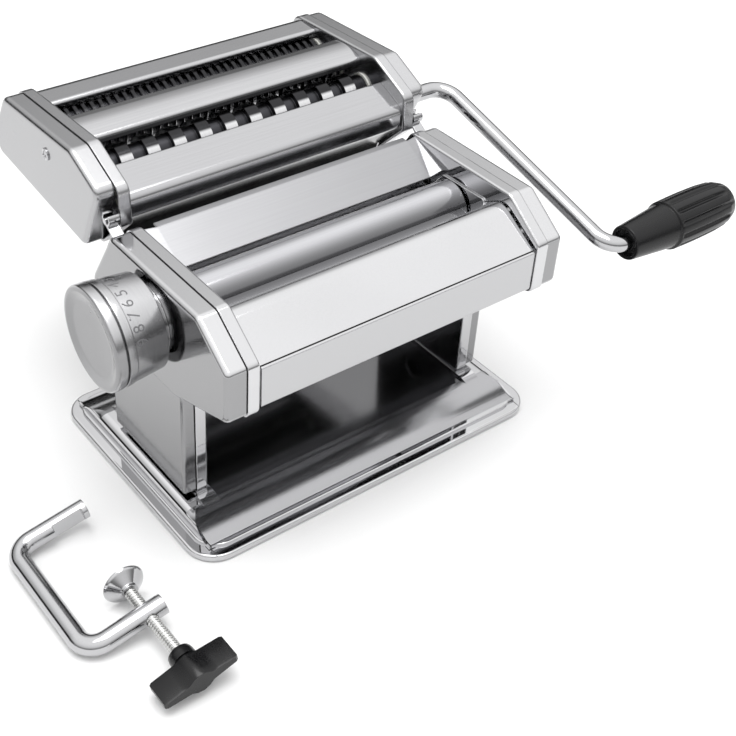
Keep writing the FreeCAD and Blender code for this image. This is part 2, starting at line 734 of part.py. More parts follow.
def cutter_sides():
    rim = "plate_x + flange_depth"
    bush = "journal_radius + running_fit + cutter_bush_wall"
    for name, side in SIDES:
        axes = [(*axis, bush) for axis in WIDE + THIN]
        tray(f"cutter_{name}_plate", side, HEAD_PLATE, axes)
        body = new_body(f"cutter_{name}_cover")
        pad(draw(new_sketch(body, "YZ_Plane", signed(side, rim)), HEAD_FACE), "head_cover_depth", side < 0)
        outer = side * (size("plate_x") + size("flange_depth") + size("head_cover_depth"))
        round_edges(body, "cover_round", lambda p: abs(p.x - outer) < 1e-4)
        hollow = draw(new_sketch(body, "YZ_Plane", signed(side, rim)), inset(HEAD_FACE, WALL + 0.8))
        pocket(hollow, "head_cover_depth - sheet_wall", side > 0)
        if side > 0:
            drill(body, side, rim, "head_cover_depth", [(*WIDE[0], "6.6"), (*THIN[0], "6.6")])


def cutter_covers():
    sheet_part("cutter_front_cover", "plate_x", [
        (39.0, 114.0), (22.0, 131.0, 4.0), (22.0, 140.8, 5.0), (40.4, 148.2, 1.6), (41.6, 145.6),
    ][::-1])
    sheet_part("cutter_centre_cover", "plate_x", [
        (55.6, 151.0), (56.4, 154.6, 2.4), (67.0, 157.4, 30.0), (78.0, 156.4, 2.4), (78.4, 153.0),
    ][::-1])
    sheet_part("cutter_rear_cover", "plate_x", [
        (94.8, 152.4), (94.6, 155.2, 1.8), (111.6, 155.4, 8.0), (127.8, 131.2, 6.0), (124.6, 121.6),
    ][::-1])


def ring_count(pitch):
    return int((2 * ROLL_HALF - 2.0) // pitch)


def wide_rolls():
    """Turned rolls whose square rings run in the grooves of the other roll."""
    pitch, radius, centres = size("wide_pitch"), size("wide_radius"), size("wide_centres")
    ring = pitch / 2 - size("ring_play")
    core = centres - radius - ROLL_CLEARANCE
    for name, index, shift in (("front", 0, 0.0), ("rear", 1, pitch / 2)):
        start = -pitch * (ring_count(pitch) // 2) + shift
        centres_x = [start + pitch * k for k in range(ring_count(pitch) + 1 - index)]
        outline = []
        for middle in centres_x:
            left, right = max(middle - ring / 2, -ROLL_HALF), min(middle + ring / 2, ROLL_HALF)
            outline += [(left, core), (left, radius), (right, radius), (right, core)]
        roll(f"wide_{name}_roll", WIDE_AXES[index], outline, core, index == 0)


def thin_rolls():
    """Thin rolls: a core and a row of narrow rings."""
    pitch, radius, centres = size("thin_pitch"), size("thin_radius"), size("thin_centres")
    ring = pitch / 2 - size("ring_play")
    core = centres - radius - ROLL_CLEARANCE
    count = ring_count(pitch)
    sides = 12
    for name, index, shift in (("front", 0, 0.0), ("rear", 1, pitch / 2)):
        start = -pitch * (count - 1) / 2 + shift - pitch / 4
        body = roll_body(f"thin_{name}_roll", THIN_AXES[index], index == 0)
        facets = [polar(core, 360 * k / sides) for k in range(sides)]
        pad(draw(new_sketch(body, "YZ_Plane", str(-ROLL_HALF)), facets), str(2 * ROLL_HALF))
        facets = [polar(radius, 360 * k / sides) for k in range(sides)]
        first = pad(draw(new_sketch(body, "YZ_Plane", str(start - ring / 2)), facets), str(ring))
        repeat(body, first, "LinearPattern", count, pitch * (count - 1))


LEFT_END = -84.5
RIGHT_END = 90.2
PLAIN_END = 82.0
SOCKET_DEPTH = 13.0
ROLL_CLEARANCE = 0.4


def journals(socket):
    """Outline of the ends of a roll; the driven one ends in a bore for the crank."""
    radius = size("journal_radius")
    right = RIGHT_END if socket else PLAIN_END
    before = [(LEFT_END, 0), (LEFT_END, radius), (-ROLL_HALF, radius)]
    after = [(ROLL_HALF, radius), (right, radius)]
    if socket:
        bore = size("socket_radius")
        after += [(right, bore), (right - SOCKET_DEPTH, bore), (right - SOCKET_DEPTH, 0)]
    else:
        after += [(right, 0)]
    return before, after


def roll(label, axis, outline, core, socket):
    before, after = journals(socket)
    ends = [(-ROLL_HALF, core)] if outline[0][0] > -ROLL_HALF else []
    tail = [(ROLL_HALF, core)] if outline[-1][0] < ROLL_HALF else []
    turned(label, *axis, before + ends + outline + tail + after)


def roll_body(label, axis, socket):
    before, after = journals(socket)
    return turned(label, *axis, before + after)


WIDE_AXES = (
    ("wide_y", "wide_z"),
    ("wide_y + wide_centres * cos(wide_line * 1 deg)", "wide_z + wide_centres * sin(wide_line * 1 deg)"),
)
THIN_AXES = (("thin_y", "thin_z"), ("thin_y + thin_centres", "thin_z"))


def cutter_gears():
    tooth = (12, 6.7, 9.6, 0.95, 0.45)
    sets = (("wide", WIDE_AXES, size("wide_line")), ("thin", THIN_AXES, 0.0))
    for name, axes, line in sets:
        place = ("cutter_gear_start", "cutter_gear_width", "journal_radius")
        spur(f"{name}_front_gear", axes[0], *place, (*tooth, line))
        spur(f"{name}_rear_gear", axes[1], *place, (*tooth, line + 195))


def cutter_bushes():
    runs = (("-plate_x - 2.2", "3.2"), ("plate_x - 1", "3.2"))
    rings = []
    bore = "journal_radius + running_fit"
    for axis in WIDE_AXES + THIN_AXES:
        rings += tube("cutter_bush", f"{bore} + cutter_bush_wall", bore, runs, *axis)
    joined("cutter_bushes", rings)


def combs():
    """Stripper combs: a bar under each roll with fingers between its rings."""
    kinds = (("wide", WIDE, "wide_pitch", 3.6, "wide_centres", "wide_radius"),
             ("thin", THIN, "thin_pitch", 1.3, "thin_centres", "thin_radius"))
    for name, axes, pitch_cell, finger, centres, radius in kinds:
        pitch = size(pitch_cell)
        core = size(centres) - size(radius) - ROLL_CLEARANCE
        count = ring_count(pitch)
        for index, place in enumerate(("front", "rear")):
            y, z = axes[index]
            top = z - core - 0.5
            shoulder = z - size(radius) - 0.8
            body = new_body(f"{name}_{place}_comb")
            under = shoulder - 4.5
            bar = [(y - 1.6, under), (y + 1.6, under), (y + 1.6, shoulder), (y - 1.6, shoulder)]
            pad(draw(new_sketch(body, "YZ_Plane", "-plate_x"), bar), "2 * plate_x")
            blade = [(y - 1.0, shoulder - 1.0), (y + 1.0, shoulder - 1.0), (y + 0.5, top), (y - 0.5, top)]
            if name == "wide":
                start = -pitch * (count // 2) + pitch * (0.5 if index == 0 else 0.0)
                number = count
            else:
                start = -pitch * (count - 1) / 2 - pitch / 4 + pitch * (0.5 if index == 0 else 0.0)
                number = count if index else count - 1
            first = draw(new_sketch(body, "YZ_Plane", str(start - finger / 2)), blade)
            repeat(body, pad(first, str(finger)), "LinearPattern", number, pitch * (number - 1))


def cutter_rods():
    places = ((42.0, 117.0), (115.0, 131.0))
    joined("cutter_tie_rods", [rod("cutter_tie_rods", "3", "-plate_x", "2 * plate_x", str(y), str(z))
                               for y, z in places])


def cutter_studs():
    """Studs on the side plates that sit in the guide hooks."""
    length = "flange_depth + 5.5"
    studs = []
    for _, side in SIDES:
        start = "plate_x + sheet_wall" if side > 0 else f"-plate_x - sheet_wall - ({length})"
        studs.append(rod("cutter_studs", "1.5", start, length, "hook_y", "hook_z - 0.7"))
    joined("cutter_studs", studs)


def cutter_screws():
    heads = []
    rim = "plate_x + flange_depth + head_cover_depth"
    for _, side in SIDES:
        start = rim if side > 0 else f"-({rim}) - 1.2"
        heads.append(rod("cutter_screws", "3", start, "1.2", "70", "145"))
    joined("cutter_screws", heads)


# Crank

def crank():
    body = new_body("crank_rod", "wide_y", "wide_z")
    tilt = size("crank_tilt")
    body.Placement = Placement(body.Placement.Base, Rotation(Vector(1, 0, 0), tilt))
    reach, length = size("crank_reach"), size("crank_length")
    start = 78.0
    stop = size("grip_start") + size("grip_length") - 9.0
    bend = 11.0
    path = new_sketch(body, "XY_Plane")
    path.addGeometry([
        Part.LineSegment(point(start, 0), point(reach - bend, 0)),
        quarter(point(reach - bend, 0), point(reach, bend), point(reach, 0), bend),
        Part.LineSegment(point(reach, bend), point(reach, length - bend)),
        quarter(point(reach, length - bend), point(reach + bend, length), point(reach, length), bend),
        Part.LineSegment(point(reach + bend, length), point(stop, length)),
    ], False)
    section = circle(new_sketch(body, "YZ_Plane", str(start)), "rod_radius")
    sweep(body, section, path)
    grip(tilt)


def quarter(start, end, corner, radius):
    """Quarter-circle bend that rounds a square corner."""
    centre = start.add(end).sub(corner)
    near = centre.add(corner.sub(centre).normalize().multiply(radius))
    return Part.Arc(start, near, end)


def sweep(body, section, path):
    feature = body.newObject("PartDesign::AdditivePipe", body.Label + "_pipe")
    feature.Profile = section
    feature.Spine = path
    return feature


def grip(tilt):
    start = size("grip_start")
    end = start + size("grip_length")
    neck = start + size("grip_neck")
    wide = size("grip_radius")
    bore = size("rod_radius") + 0.08
    axis = polar(size("crank_length"), tilt)
    body = turned("crank_grip", f"wide_y + {axis[0]}", f"wide_z + {axis[1]}", [
        (start, bore), (start, 8.6), (neck, wide - 1.3), (neck + 0.6, wide - 0.3),
        (end - 12.0, wide - 0.3), (end - 6.0, wide - 1.4), (end - 2.2, wide - 3.2), (end, 6.4), (end, 0),
        (end - 8.0, 0), (end - 8.0, bore),
    ])
    flute = circle(new_sketch(body, "YZ_Plane", str(end - 7.0)), "2.2", 0.0, wide + 0.7)
    cut = pocket(flute, "grip_length - grip_neck - 8.5")
    repeat(body, cut, "PolarPattern", 10, 360)


# Table clamp, lying on its back rod and the rim of its cup

def lay_clamp(body):
    """Carry a clamp piece from its own plane to where it lies on the table."""
    base = Vector(size("clamp_x"), size("clamp_y"), size("clamp_rod"))
    body.setExpression("Placement.Base.y", None)
    body.setExpression("Placement.Base.z", None)
    body.Placement = Placement(base, Rotation(Vector(0, 1, 0), -size("clamp_tip")))


def clamp():
    arm, span = size("clamp_arm_length"), size("clamp_span")
    bend = 9.0
    body = new_body("clamp_arm")
    path = new_sketch(body, "XY_Plane")
    path.addGeometry([
        Part.LineSegment(point(arm, 0), point(bend, 0)),
        quarter(point(bend, 0), point(0, -bend), point(0, 0), bend),
        Part.LineSegment(point(0, -bend), point(0, bend - span)),
        quarter(point(0, bend - span), point(bend, -span), point(0, -span), bend),
        Part.LineSegment(point(bend, -span), point(arm, -span)),
    ], False)
    sweep(body, circle(new_sketch(body, "YZ_Plane", str(arm)), "clamp_rod"), path)
    flat = [(-8.0, -size("clamp_rod") - 1.0), (-2.4, -size("clamp_rod") - 1.0), (-2.4, 6.0), (-8.0, 6.0)]
    pocket(draw(new_sketch(body, "YZ_Plane", str(arm - 2.5)), flat), "15")
    thread = new_sketch(body, "XZ_Plane", str(span + 8.0))
    pocket(circle(thread, "clamp_screw_radius + 0.06", size("clamp_screw_x"), 0), "16")
    lay_clamp(body)
    screw_turned("clamp_screw", [(-98.0, 0), (-98.0, 2.9), (-55.5, 2.9), (-55.5, 0)])
    screw_turned("clamp_pad", [
        (-55.5, 0), (-55.5, 4.0), (-54.0, 4.0), (-50.4, size("pad_radius")), (-49.4, size("pad_radius")),
        (-49.4, 8.6), (-52.2, 3.0), (-52.2, 0),
    ])
    clamp_knob()


def screw_turned(label, corners):
    """A piece turned about the screw; corners are (place along Y, radius)."""
    body = new_body(label)
    place = size("clamp_screw_x")
    sketch = draw(new_sketch(body, "XY_Plane"), [(place + c[1], c[0], *c[2:]) for c in corners])
    feature = body.newObject("PartDesign::Revolution", label + "_turn")
    sketch.addGeometry(Part.LineSegment(point(place, -120), point(place, -40)), True)
    feature.Profile = sketch
    feature.ReferenceAxis = (sketch, ["Axis0"])
    feature.Angle = 360
    lay_clamp(body)


def clamp_knob():
    body = new_body("clamp_knob")
    place = size("clamp_screw_x")
    wing_corners = [
        (place - 17.5, -114.0, 1.5), (place + 17.5, -114.0, 1.5), (place + 17.5, -101.0, 1.5),
        (place - 17.5, -101.0, 1.5),
    ]
    pad(draw(new_sketch(body, "XY_Plane", "-3.4"), wing_corners), "6.8")
    hub = circle(new_sketch(body, "XZ_Plane", "96"), "5.8", place, 0)
    pad(hub, "18.6")
    bore = circle(new_sketch(body, "XZ_Plane", "95"), "clamp_screw_radius", place, 0)
    pocket(bore, "3", True)
    lay_clamp(body)


def build():
    base_plate()
    base_feet()
    side_plates()
    side_covers()
    front_panel()
    hopper_plate()
    end_guards()
    scrapers()
    tie_rods()
    guide_hooks()
    body_screws()
    smooth_rollers()
    eccentric_shaft()
    dial()
    cutter_sides()
    cutter_covers()
    wide_rolls()
    thin_rolls()
    cutter_gears()
    cutter_bushes()
    combs()
    cutter_rods()
    cutter_studs()
    cutter_screws()
    crank()
    clamp()
    doc.recompute()


def check():
    """Stop before anything is written when a feature or a solid has failed."""
    for item in doc.Objects:
        if "Invalid" in item.State or "Error" in item.State:
            raise RuntimeError(f"{item.Label} failed: {item.State}")
    for before, after in CUTS:
        if before.Shape.Volume - after.Shape.Volume < 0.01:
            raise RuntimeError(f"{after.Label} cuts nothing")
    for node in NODES:
        if node.Shape.isNull() or not node.Shape.isValid() or not node.Shape.Solids:
            raise RuntimeError(f"{node.Label} has no valid solid")


def write():
    os.makedirs("parts", exist_ok=True)
    for node in NODES:
        node.Shape.exportStep(f"parts/{node.Label}.step")
        print(node.Label, len(node.Shape.Solids), "solids")
    print(len(NODES), "nodes")


build()
check()
write()
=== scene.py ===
# %% [markdown]
# # A hand-cranked pasta roller
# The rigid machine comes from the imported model, which is loaded first and is never moved.
# This lesson dresses it: every steel, plastic and rubber face gets a finish of its own, and the pieces whose
# charm is in fine shape (the dial, the grip, the cutter rolls, the clamp's thread) are made anew as meshes.
# The model's own frame is used throughout: X runs along the rollers, the front is -Y, Z is up.  Blender works in
# metres; profiles are written in millimetres, as on a drawing, and MM turns them into metres.

import math

import bmesh
import bpy
from mathutils import Matrix, Vector


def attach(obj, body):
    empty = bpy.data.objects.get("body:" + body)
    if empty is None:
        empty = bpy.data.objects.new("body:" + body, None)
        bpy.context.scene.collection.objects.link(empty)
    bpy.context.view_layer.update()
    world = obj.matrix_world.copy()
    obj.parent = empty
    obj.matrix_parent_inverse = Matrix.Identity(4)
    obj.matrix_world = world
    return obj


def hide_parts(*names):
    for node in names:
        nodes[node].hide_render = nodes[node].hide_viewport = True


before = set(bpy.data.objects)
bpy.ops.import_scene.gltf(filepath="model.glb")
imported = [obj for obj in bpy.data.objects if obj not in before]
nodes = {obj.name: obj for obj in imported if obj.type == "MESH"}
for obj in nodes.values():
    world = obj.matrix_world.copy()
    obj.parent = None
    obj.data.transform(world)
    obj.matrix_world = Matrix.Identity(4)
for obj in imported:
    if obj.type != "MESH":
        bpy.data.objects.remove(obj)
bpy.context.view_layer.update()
MM = 0.001

# %% [markdown]
# ## Shader sums as plain Python
# A finish is a small network of nodes.  It could be wired link by link, but that hides the idea.  Here a wire
# carries the usual operators instead: an expression such as `1 - mask * 0.4` adds its Math nodes by itself.

# %% A wire with arithmetic
class Wire:
    """One output socket of a node, with arithmetic."""

    def __init__(self, finish, socket):
        self.finish = finish
        self.socket = socket

    def math(self, operation, first, second):
        return self.finish.make("ShaderNodeMath", {"operation": operation}, {0: first, 1: second})

    def __add__(self, other):
        return self.math("ADD", self, other)

    def __sub__(self, other):
        return self.math("SUBTRACT", self, other)

    def __mul__(self, other):
        return self.math("MULTIPLY", self, other)

    def __rsub__(self, other):
        return self.math("SUBTRACT", other, self)

    __radd__ = __add__
    __rmul__ = __mul__


# %% [markdown]
# ## One maker for all other nodes
# Every other node comes from one method, which takes the kind of node, its settings and what goes into its
# sockets.  The short methods after it name the few nodes that the finishes use again and again, so that each
# finish further down reads as a recipe and not as a diagram.

# %% A finish and its node maker
class Finish:
    """A node tree being wired, and the one method that adds nodes to it."""

    def __init__(self, tree):
        self.tree = tree
        tree.nodes.clear()

    def make(self, kind, settings=None, sockets=None, output=0):
        node = self.tree.nodes.new(kind)
        for name, value in (settings or {}).items():
            setattr(node, name, value)
        for key, value in (sockets or {}).items():
            if isinstance(value, Wire):
                self.tree.links.new(value.socket, node.inputs[key])
            else:
                node.inputs[key].default_value = value
        return Wire(self, node.outputs[output]) if len(node.outputs) else node

    def place(self):
        """The point being shaded, in the model's own frame."""
        return self.make("ShaderNodeTexCoord", output="Object")

    def stretched(self, scale):
        """The same point with each axis scaled, for grain that runs one way."""
        return self.make("ShaderNodeVectorMath", {"operation": "MULTIPLY"}, {0: self.place(), 1: scale})

    def noise(self, where, scale, detail=2.0):
        return self.make("ShaderNodeTexNoise", None, {"Vector": where, "Scale": scale, "Detail": detail})

    def between(self, value, low, high):
        """The share of the way that a value lies between two limits, eased at both ends."""
        limits = {"Value": value, "From Min": low, "From Max": high}
        return self.make("ShaderNodeMapRange", {"interpolation_type": "SMOOTHSTEP"}, limits)

    def ramp(self, value, low, high):
        """The same share without easing."""
        return self.make("ShaderNodeMapRange", None, {"Value": value, "From Min": low, "From Max": high})

    def part(self, vector, axis):
        """A vector's part along one axis."""
        return self.make("ShaderNodeSeparateXYZ", None, {0: vector}, output=axis)

    def apart(self, vector, axis):
        """The size of that part, whichever way it points."""
        return self.make("ShaderNodeMath", {"operation": "ABSOLUTE"}, {0: self.part(vector, axis)})

    def mix(self, share, first, second):
        """A blend of two colours, each a triple or a wire."""
        first, second = ((c if isinstance(c, Wire) else (*c, 1.0)) for c in (first, second))
        ends = {0: share, 6: first, 7: second}
        return self.make("ShaderNodeMix", {"data_type": "RGBA"}, ends, output=2)

    def bump(self, height, depth, edge=0.0):
        """A bump over a surface whose sharp edges are softened by the given radius."""
        sockets = {"Height": height, "Strength": 0.5, "Distance": depth}
        if edge:
            sockets["Normal"] = self.make("ShaderNodeBevel", {"samples": 4}, {"Radius": edge})
        return self.make("ShaderNodeBump", None, sockets)

    def surface(self, sockets):
        shader = self.make("ShaderNodeBsdfPrincipled", None, sockets)
        self.make("ShaderNodeOutputMaterial", None, {"Surface": shader})


def new_finish(name):
    material = bpy.data.materials.new(name)
    material.use_nodes = True
    return material, Finish(material.node_tree)


trial, f = new_finish("trial")
f.surface({"Roughness": 1 - f.part(f.place(), 2) * 0.4})
print("a roughness of 1 - height * 0.4 takes", len(trial.node_tree.nodes), "nodes")
bpy.data.materials.remove(trial)

# %% [markdown]
# ## Steel
# Three kinds of steel show on the machine.  The covers and the base are polished until they act as mirrors; what
# tells them from a perfect mirror is a little haze, a few wiped smears and hair-fine scratches.  The cutter's
# sheets and the rollers are brushed along their length.  The dial and the cutter rolls are turned, so their lines
# run round.  Each could have a network of its own, but they differ only in numbers, so one recipe serves them all:
# the grain is noise squeezed along one axis, and it feeds roughness and bump.

# %% Steel recipe
# Near-black painted where shade falls: under the cutter's sheets and on the backs of sunk rolls.
GAP_PAINTED_SHADE = (0.035, 0.035, 0.037)
SMEAR_SCALE, SCRATCH_SCALE = 16.0, (900.0, 90.0, 500.0)
WORN_SHARE, SOFT_EDGE, SHADE_FADE = 0.86, 0.7 * MM, 2.0 * MM


def smeared(f):
    """Patches where a cloth has wiped the steel."""
    return f.between(f.noise(f.place(), SMEAR_SCALE, 2.0), 0.40, 0.75)


def grained(f, grain):
    """Fine lines that run the way the steel was brushed or turned."""
    return f.noise(f.stretched(grain), 1.0, 3.0)


def dimmed(tint, share):
    return tuple(share * c for c in tint)


def steel(name, tint, smooth, rough, grain, grain_depth, upright=1.0, under=None, front=1.0, sunk=False):
    """Painted shade: upright or front faces keep only a share of the tint; below a height, or on a sunk roll's back,
    the colour is painted dark.
    """
    material, f = new_finish(name)
    smears = smeared(f)
    lines = grained(f, grain)
    scratches = f.between(f.noise(f.stretched(SCRATCH_SCALE), 1.0, 1.0), 0.70, 0.78)
    haze = f.between(lines, 0.3, 0.7)
    colour = f.mix(smears * 0.25 + haze * 0.25, tint, dimmed(tint, WORN_SHARE))
    # Painted shade follows: the colour is darkened by the direction or the height of a face.
    if upright < 1.0:
        facing_up = f.apart(f.make("ShaderNodeTexCoord", output="Normal"), 2)
        colour = f.mix(1 - f.between(facing_up, 0.12, 0.55), colour, dimmed(tint, upright))
    if under is not None:
        colour = f.mix(1 - f.between(f.part(f.place(), 2), under - SHADE_FADE, under), colour, GAP_PAINTED_SHADE)
    if front < 1.0 or sunk:
        facing_back = f.part(f.make("ShaderNodeNewGeometry", output="Normal"), 1)
        if front < 1.0:
            colour = f.mix(1 - f.between(facing_back, -0.85, -0.28), colour, dimmed(tint, front))
        if sunk:
            colour = f.mix(f.between(facing_back, -0.74, -0.60), colour, GAP_PAINTED_SHADE)
    f.surface({
        "Base Color": colour,
        "Metallic": 1.0,
        "Roughness": smooth + (rough - smooth) * (haze * 0.6 + smears * 0.4) + scratches * 0.03,
        "Normal": f.bump(lines, grain_depth, 0.0 if sunk else SOFT_EDGE),
    })
    return material


# %% [markdown]
# ## The steels of this machine
# Bright sheet takes its tone from what it faces.  On the real machine the sides face a dim room, the lower edges of
# the cutter's sheets lie in shade, and the rolls' squares are bright only towards the front.  More lamps and dark
# boards could bring that about, but they would show as reflections everywhere else.  So that shade is painted into
# each steel: a share of its tint by the direction or the height of a face, which looks the same from every side.

# %% Steel finishes
EVEN = (2200.0, 2200.0, 2200.0)
ALONG_X = (14.0, 1500.0, 1500.0)
ROUND_X = (1800.0, 60.0, 60.0)
mirror_steel = steel("mirror_steel", (0.60, 0.60, 0.61), 0.035, 0.075, EVEN, 0.0000006)
# The upright share on the panel, cover, satin and dial steels is painted shade on upright faces, for the dim room
# they mirror.
panel_steel = steel("panel_steel", (0.60, 0.60, 0.61), 0.05, 0.10, EVEN, 0.0000006, upright=0.80)
cover_steel = steel("cover_steel", (0.62, 0.62, 0.63), 0.10, 0.15, EVEN, 0.0000008, upright=0.50)
satin_steel = steel("satin_steel", (0.52, 0.52, 0.53), 0.20, 0.28, EVEN, 0.000002, upright=0.76)
chute_steel = steel("chute_steel", (0.34, 0.34, 0.35), 0.36, 0.42, ALONG_X, 0.000002)
brushed_steel = steel("brushed_steel", (0.48, 0.48, 0.49), 0.12, 0.22, ALONG_X, 0.000005)
# Below the given height the centre and front sheets are painted near-black: painted shade under the cutter head.
centre_steel = steel("centre_steel", (0.50, 0.50, 0.51), 0.12, 0.20, ALONG_X, 0.000005, under=154.4 * MM)
front_steel = steel("front_steel", (0.46, 0.46, 0.47), 0.12, 0.20, ALONG_X, 0.000005, under=129.5 * MM)
# The roller steel paints shade on faces that face the front; the turned steel paints shade on a sunk roll's back.
roller_steel = steel("roller_steel", (0.55, 0.55, 0.57), 0.10, 0.18, ALONG_X, 0.000005, front=0.32)
turned_steel = steel("turned_steel", (0.66, 0.66, 0.67), 0.16, 0.26, ROUND_X, 0.000006, sunk=True)
# A near-black copy of the turned steel: painted shade in the rolls' grooves.
groove_painted_shade = steel("groove_painted_shade", (0.05, 0.05, 0.055), 0.25, 0.40, ROUND_X, 0.000006)
dial_steel = steel("dial_steel", (0.52, 0.52, 0.53), 0.20, 0.28, ROUND_X, 0.000004, upright=0.50)
chrome_rod = steel("chrome_rod", (0.50, 0.50, 0.51), 0.05, 0.10, EVEN, 0.0000006)
gear_steel = steel("gear_steel", (0.36, 0.36, 0.38), 0.28, 0.42, ROUND_X, 0.00001)
zinc_thread = steel("zinc_thread", (0.58, 0.58, 0.57), 0.16, 0.28, EVEN, 0.000002)
print("a plain steel takes", len(mirror_steel.node_tree.nodes), "nodes, a sunk roll's",
      len(turned_steel.node_tree.nodes))

# %% [markdown]
# ## The base
# The base is pressed from one sheet.  Its plateau lies under the machine and mirrors only dark things; that dark is
# painted shade, a dark tint on the plateau.  In front a crisp fold turns it down into a brushed slope that swells
# outwards.  The model has the plateau and the slope with a soft bend between them.  A new mesh could carry the fold,
# but the sheet's beads would all have to be made again, so the fold is drawn here: a bump whose height is the
# pressed profile less the model's own profile tilts the light just as the fold would.

# %% Base finish
FOLD, SLOPE_END, LEG_INSIDE, PLATEAU_END = 40.5 * MM, 61.0 * MM, 74.8 * MM, 91.5 * MM
SLOPE_START, SLOPE_SWELL = 0.10, 15.5
MODEL_BENDS = ((42.8 * MM, 47.0 * MM, 0.416), (56.5 * MM, 59.6 * MM, -0.416))
POLISHED, WIPED = (0.60, 0.60, 0.61), (0.52, 0.52, 0.53)
# The plateau's tint is painted shade for the dark under the machine; the slope's is its brushed finish.
PLATEAU_PAINTED_SHADE, SLOPE_TINT = (0.17, 0.17, 0.175), (0.38, 0.38, 0.39)


def base_finish():
    material, f = new_finish("base_steel")
    across, out = f.apart(f.place(), 0), f.apart(f.place(), 1)
    on_hump = 1 - f.between(across, PLATEAU_END, PLATEAU_END + 0.5 * MM)
    folded = f.between(out, FOLD - 0.2 * MM, FOLD + 0.2 * MM)
    slope = on_hump * folded * (1 - f.between(out, SLOPE_END, SLOPE_END + 1.0 * MM))
    # Painted shade: the plateau is tinted dark, and it is also given a little more roughness.
    plateau = (1 - f.between(across, LEG_INSIDE, LEG_INSIDE + 0.4 * MM)) * (1 - folded)
    down = f.ramp(out, FOLD, SLOPE_END) * (SLOPE_END - FOLD)
    height = 0.0 - (down * SLOPE_START + down * down * SLOPE_SWELL)
    for start, end, steep in MODEL_BENDS:
        share = f.ramp(out, start, end)
        beyond = f.make("ShaderNodeMath", {"operation": "MAXIMUM"}, {0: out - end, 1: 0.0})
        height = height + steep * (share * share * ((end - start) / 2) + beyond)
    lines, smears = grained(f, ALONG_X), smeared(f)
    plain = f.mix(smears * 0.3, POLISHED, WIPED)
    f.surface({
        "Base Color": f.mix(slope, f.mix(plateau, plain, PLATEAU_PAINTED_SHADE), SLOPE_TINT),
        "Metallic": 1.0,
        "Roughness": 0.04 + smears * 0.03 + slope * (0.10 + lines * 0.06) + plateau * 0.05,
        "Normal": f.make("ShaderNodeBump", None, {"Height": height * on_hump, "Strength": 1.0, "Distance": 1.0}),
    })
    return material


base_steel = base_finish()
print("base finish:", len(base_steel.node_tree.nodes), "nodes")

# %% [markdown]
# ## Plastic, rubber and shadow lines
# The grip and the wing knob are moulded in black plastic: a fine pebble from the mould, with a sheen where
# hands have polished it.  The feet are dull rubber.  The seams between pressed plates are simply dark gaps,
# and the dial's figures are stamped, so their bottoms are dull and dark.  The pebble is too fine to model, so it
# is noise in the bump, and a slower noise picks the handled patches that are smoother and paler.

# %% Plastic finishes
SHEEN = 0.35


def plastic(name, colour, smooth, rough, pebble, depth):
    material, f = new_finish(name)
    mould = f.noise(f.place(), pebble, 3.0)
    handled = f.between(f.noise(f.place(), 40.0, 3.0), 0.40, 0.70)
    pale = tuple(1.4 * c + 0.001 for c in colour)
    f.surface({
        "Base Color": f.mix(handled * 0.5, colour, pale),
        "Roughness": rough + (smooth - rough) * handled + (mould - 0.5) * 0.12,
        "Specular IOR Level": SHEEN,
        "Normal": f.bump(mould, depth),
    })
    return material


black_plastic = plastic("black_plastic", (0.003, 0.003, 0.0035), 0.20, 0.30, 1400.0, 0.00001)
dark_plastic = plastic("dark_plastic", (0.006, 0.006, 0.006), 0.45, 0.60, 1400.0, 0.00002)
pale_plastic = plastic("pale_plastic", (0.55, 0.55, 0.52), 0.40, 0.55, 900.0, 0.00002)
black_rubber = plastic("black_rubber", (0.018, 0.018, 0.018), 0.70, 0.85, 700.0, 0.00004)
# Near-black for the dark seams, and painted shadow for the two shadow lines further down.
seam_and_shadow_dark = plastic("seam_and_shadow_dark", (0.003, 0.003, 0.003), 0.60, 0.80, 500.0, 0.00001)
stamp_dark = plastic("stamp_dark", (0.13, 0.13, 0.135), 0.40, 0.55, 900.0, 0.00001)
print("a plastic takes", len(black_plastic.node_tree.nodes), "nodes")

# %% [markdown]
# ## Finishes for the CAD pieces
# A CAD node whose shape is right keeps it and only changes its clothes.  One table says which finish goes on which
# pieces, so that none is forgotten, and the last line prints any that is.

# %% Dress the CAD nodes
DRESS = {
    base_steel: ["base_plate"],
    mirror_steel: ["left_inner_plate", "right_inner_plate", "left_end_guard", "right_end_guard",
                   "front_scraper", "rear_scraper"],
    panel_steel: ["front_panel"],
    chute_steel: ["hopper_plate"],
    cover_steel: ["left_outer_cover", "right_outer_cover"],
    satin_steel: ["cutter_left_cover", "cutter_right_cover", "cutter_left_plate", "cutter_right_plate"],
    brushed_steel: ["cutter_rear_cover"],
    centre_steel: ["cutter_centre_cover"],
    front_steel: ["cutter_front_cover"],
    roller_steel: ["front_roller", "rear_roller"],
    turned_steel: ["wide_front_roll", "wide_rear_roll", "thin_front_roll", "thin_rear_roll"],
    dial_steel: ["dial_ring", "dial_cap"],
    chrome_rod: ["crank_rod", "clamp_arm", "clamp_pad", "left_guide_hook", "right_guide_hook", "cutter_studs",
                 "cutter_screws", "body_screws"],
    gear_steel: ["tie_rods", "cutter_tie_rods", "eccentric_shaft", "index_plate", "index_pin", "front_roller_gear",
                 "rear_roller_gear", "wide_front_gear", "wide_rear_gear", "thin_front_gear", "thin_rear_gear"],
    zinc_thread: ["clamp_screw"],
    black_plastic: ["crank_grip", "clamp_knob"],
    dark_plastic: ["wide_front_comb", "wide_rear_comb", "thin_front_comb", "thin_rear_comb"],
    pale_plastic: ["rear_roller_bushes", "shaft_bushes", "carrier_bushes", "cutter_bushes"],
    black_rubber: ["base_feet"],
}
for material, names in DRESS.items():
    for name in names:
        nodes[name].data.materials.clear()
        nodes[name].data.materials.append(material)
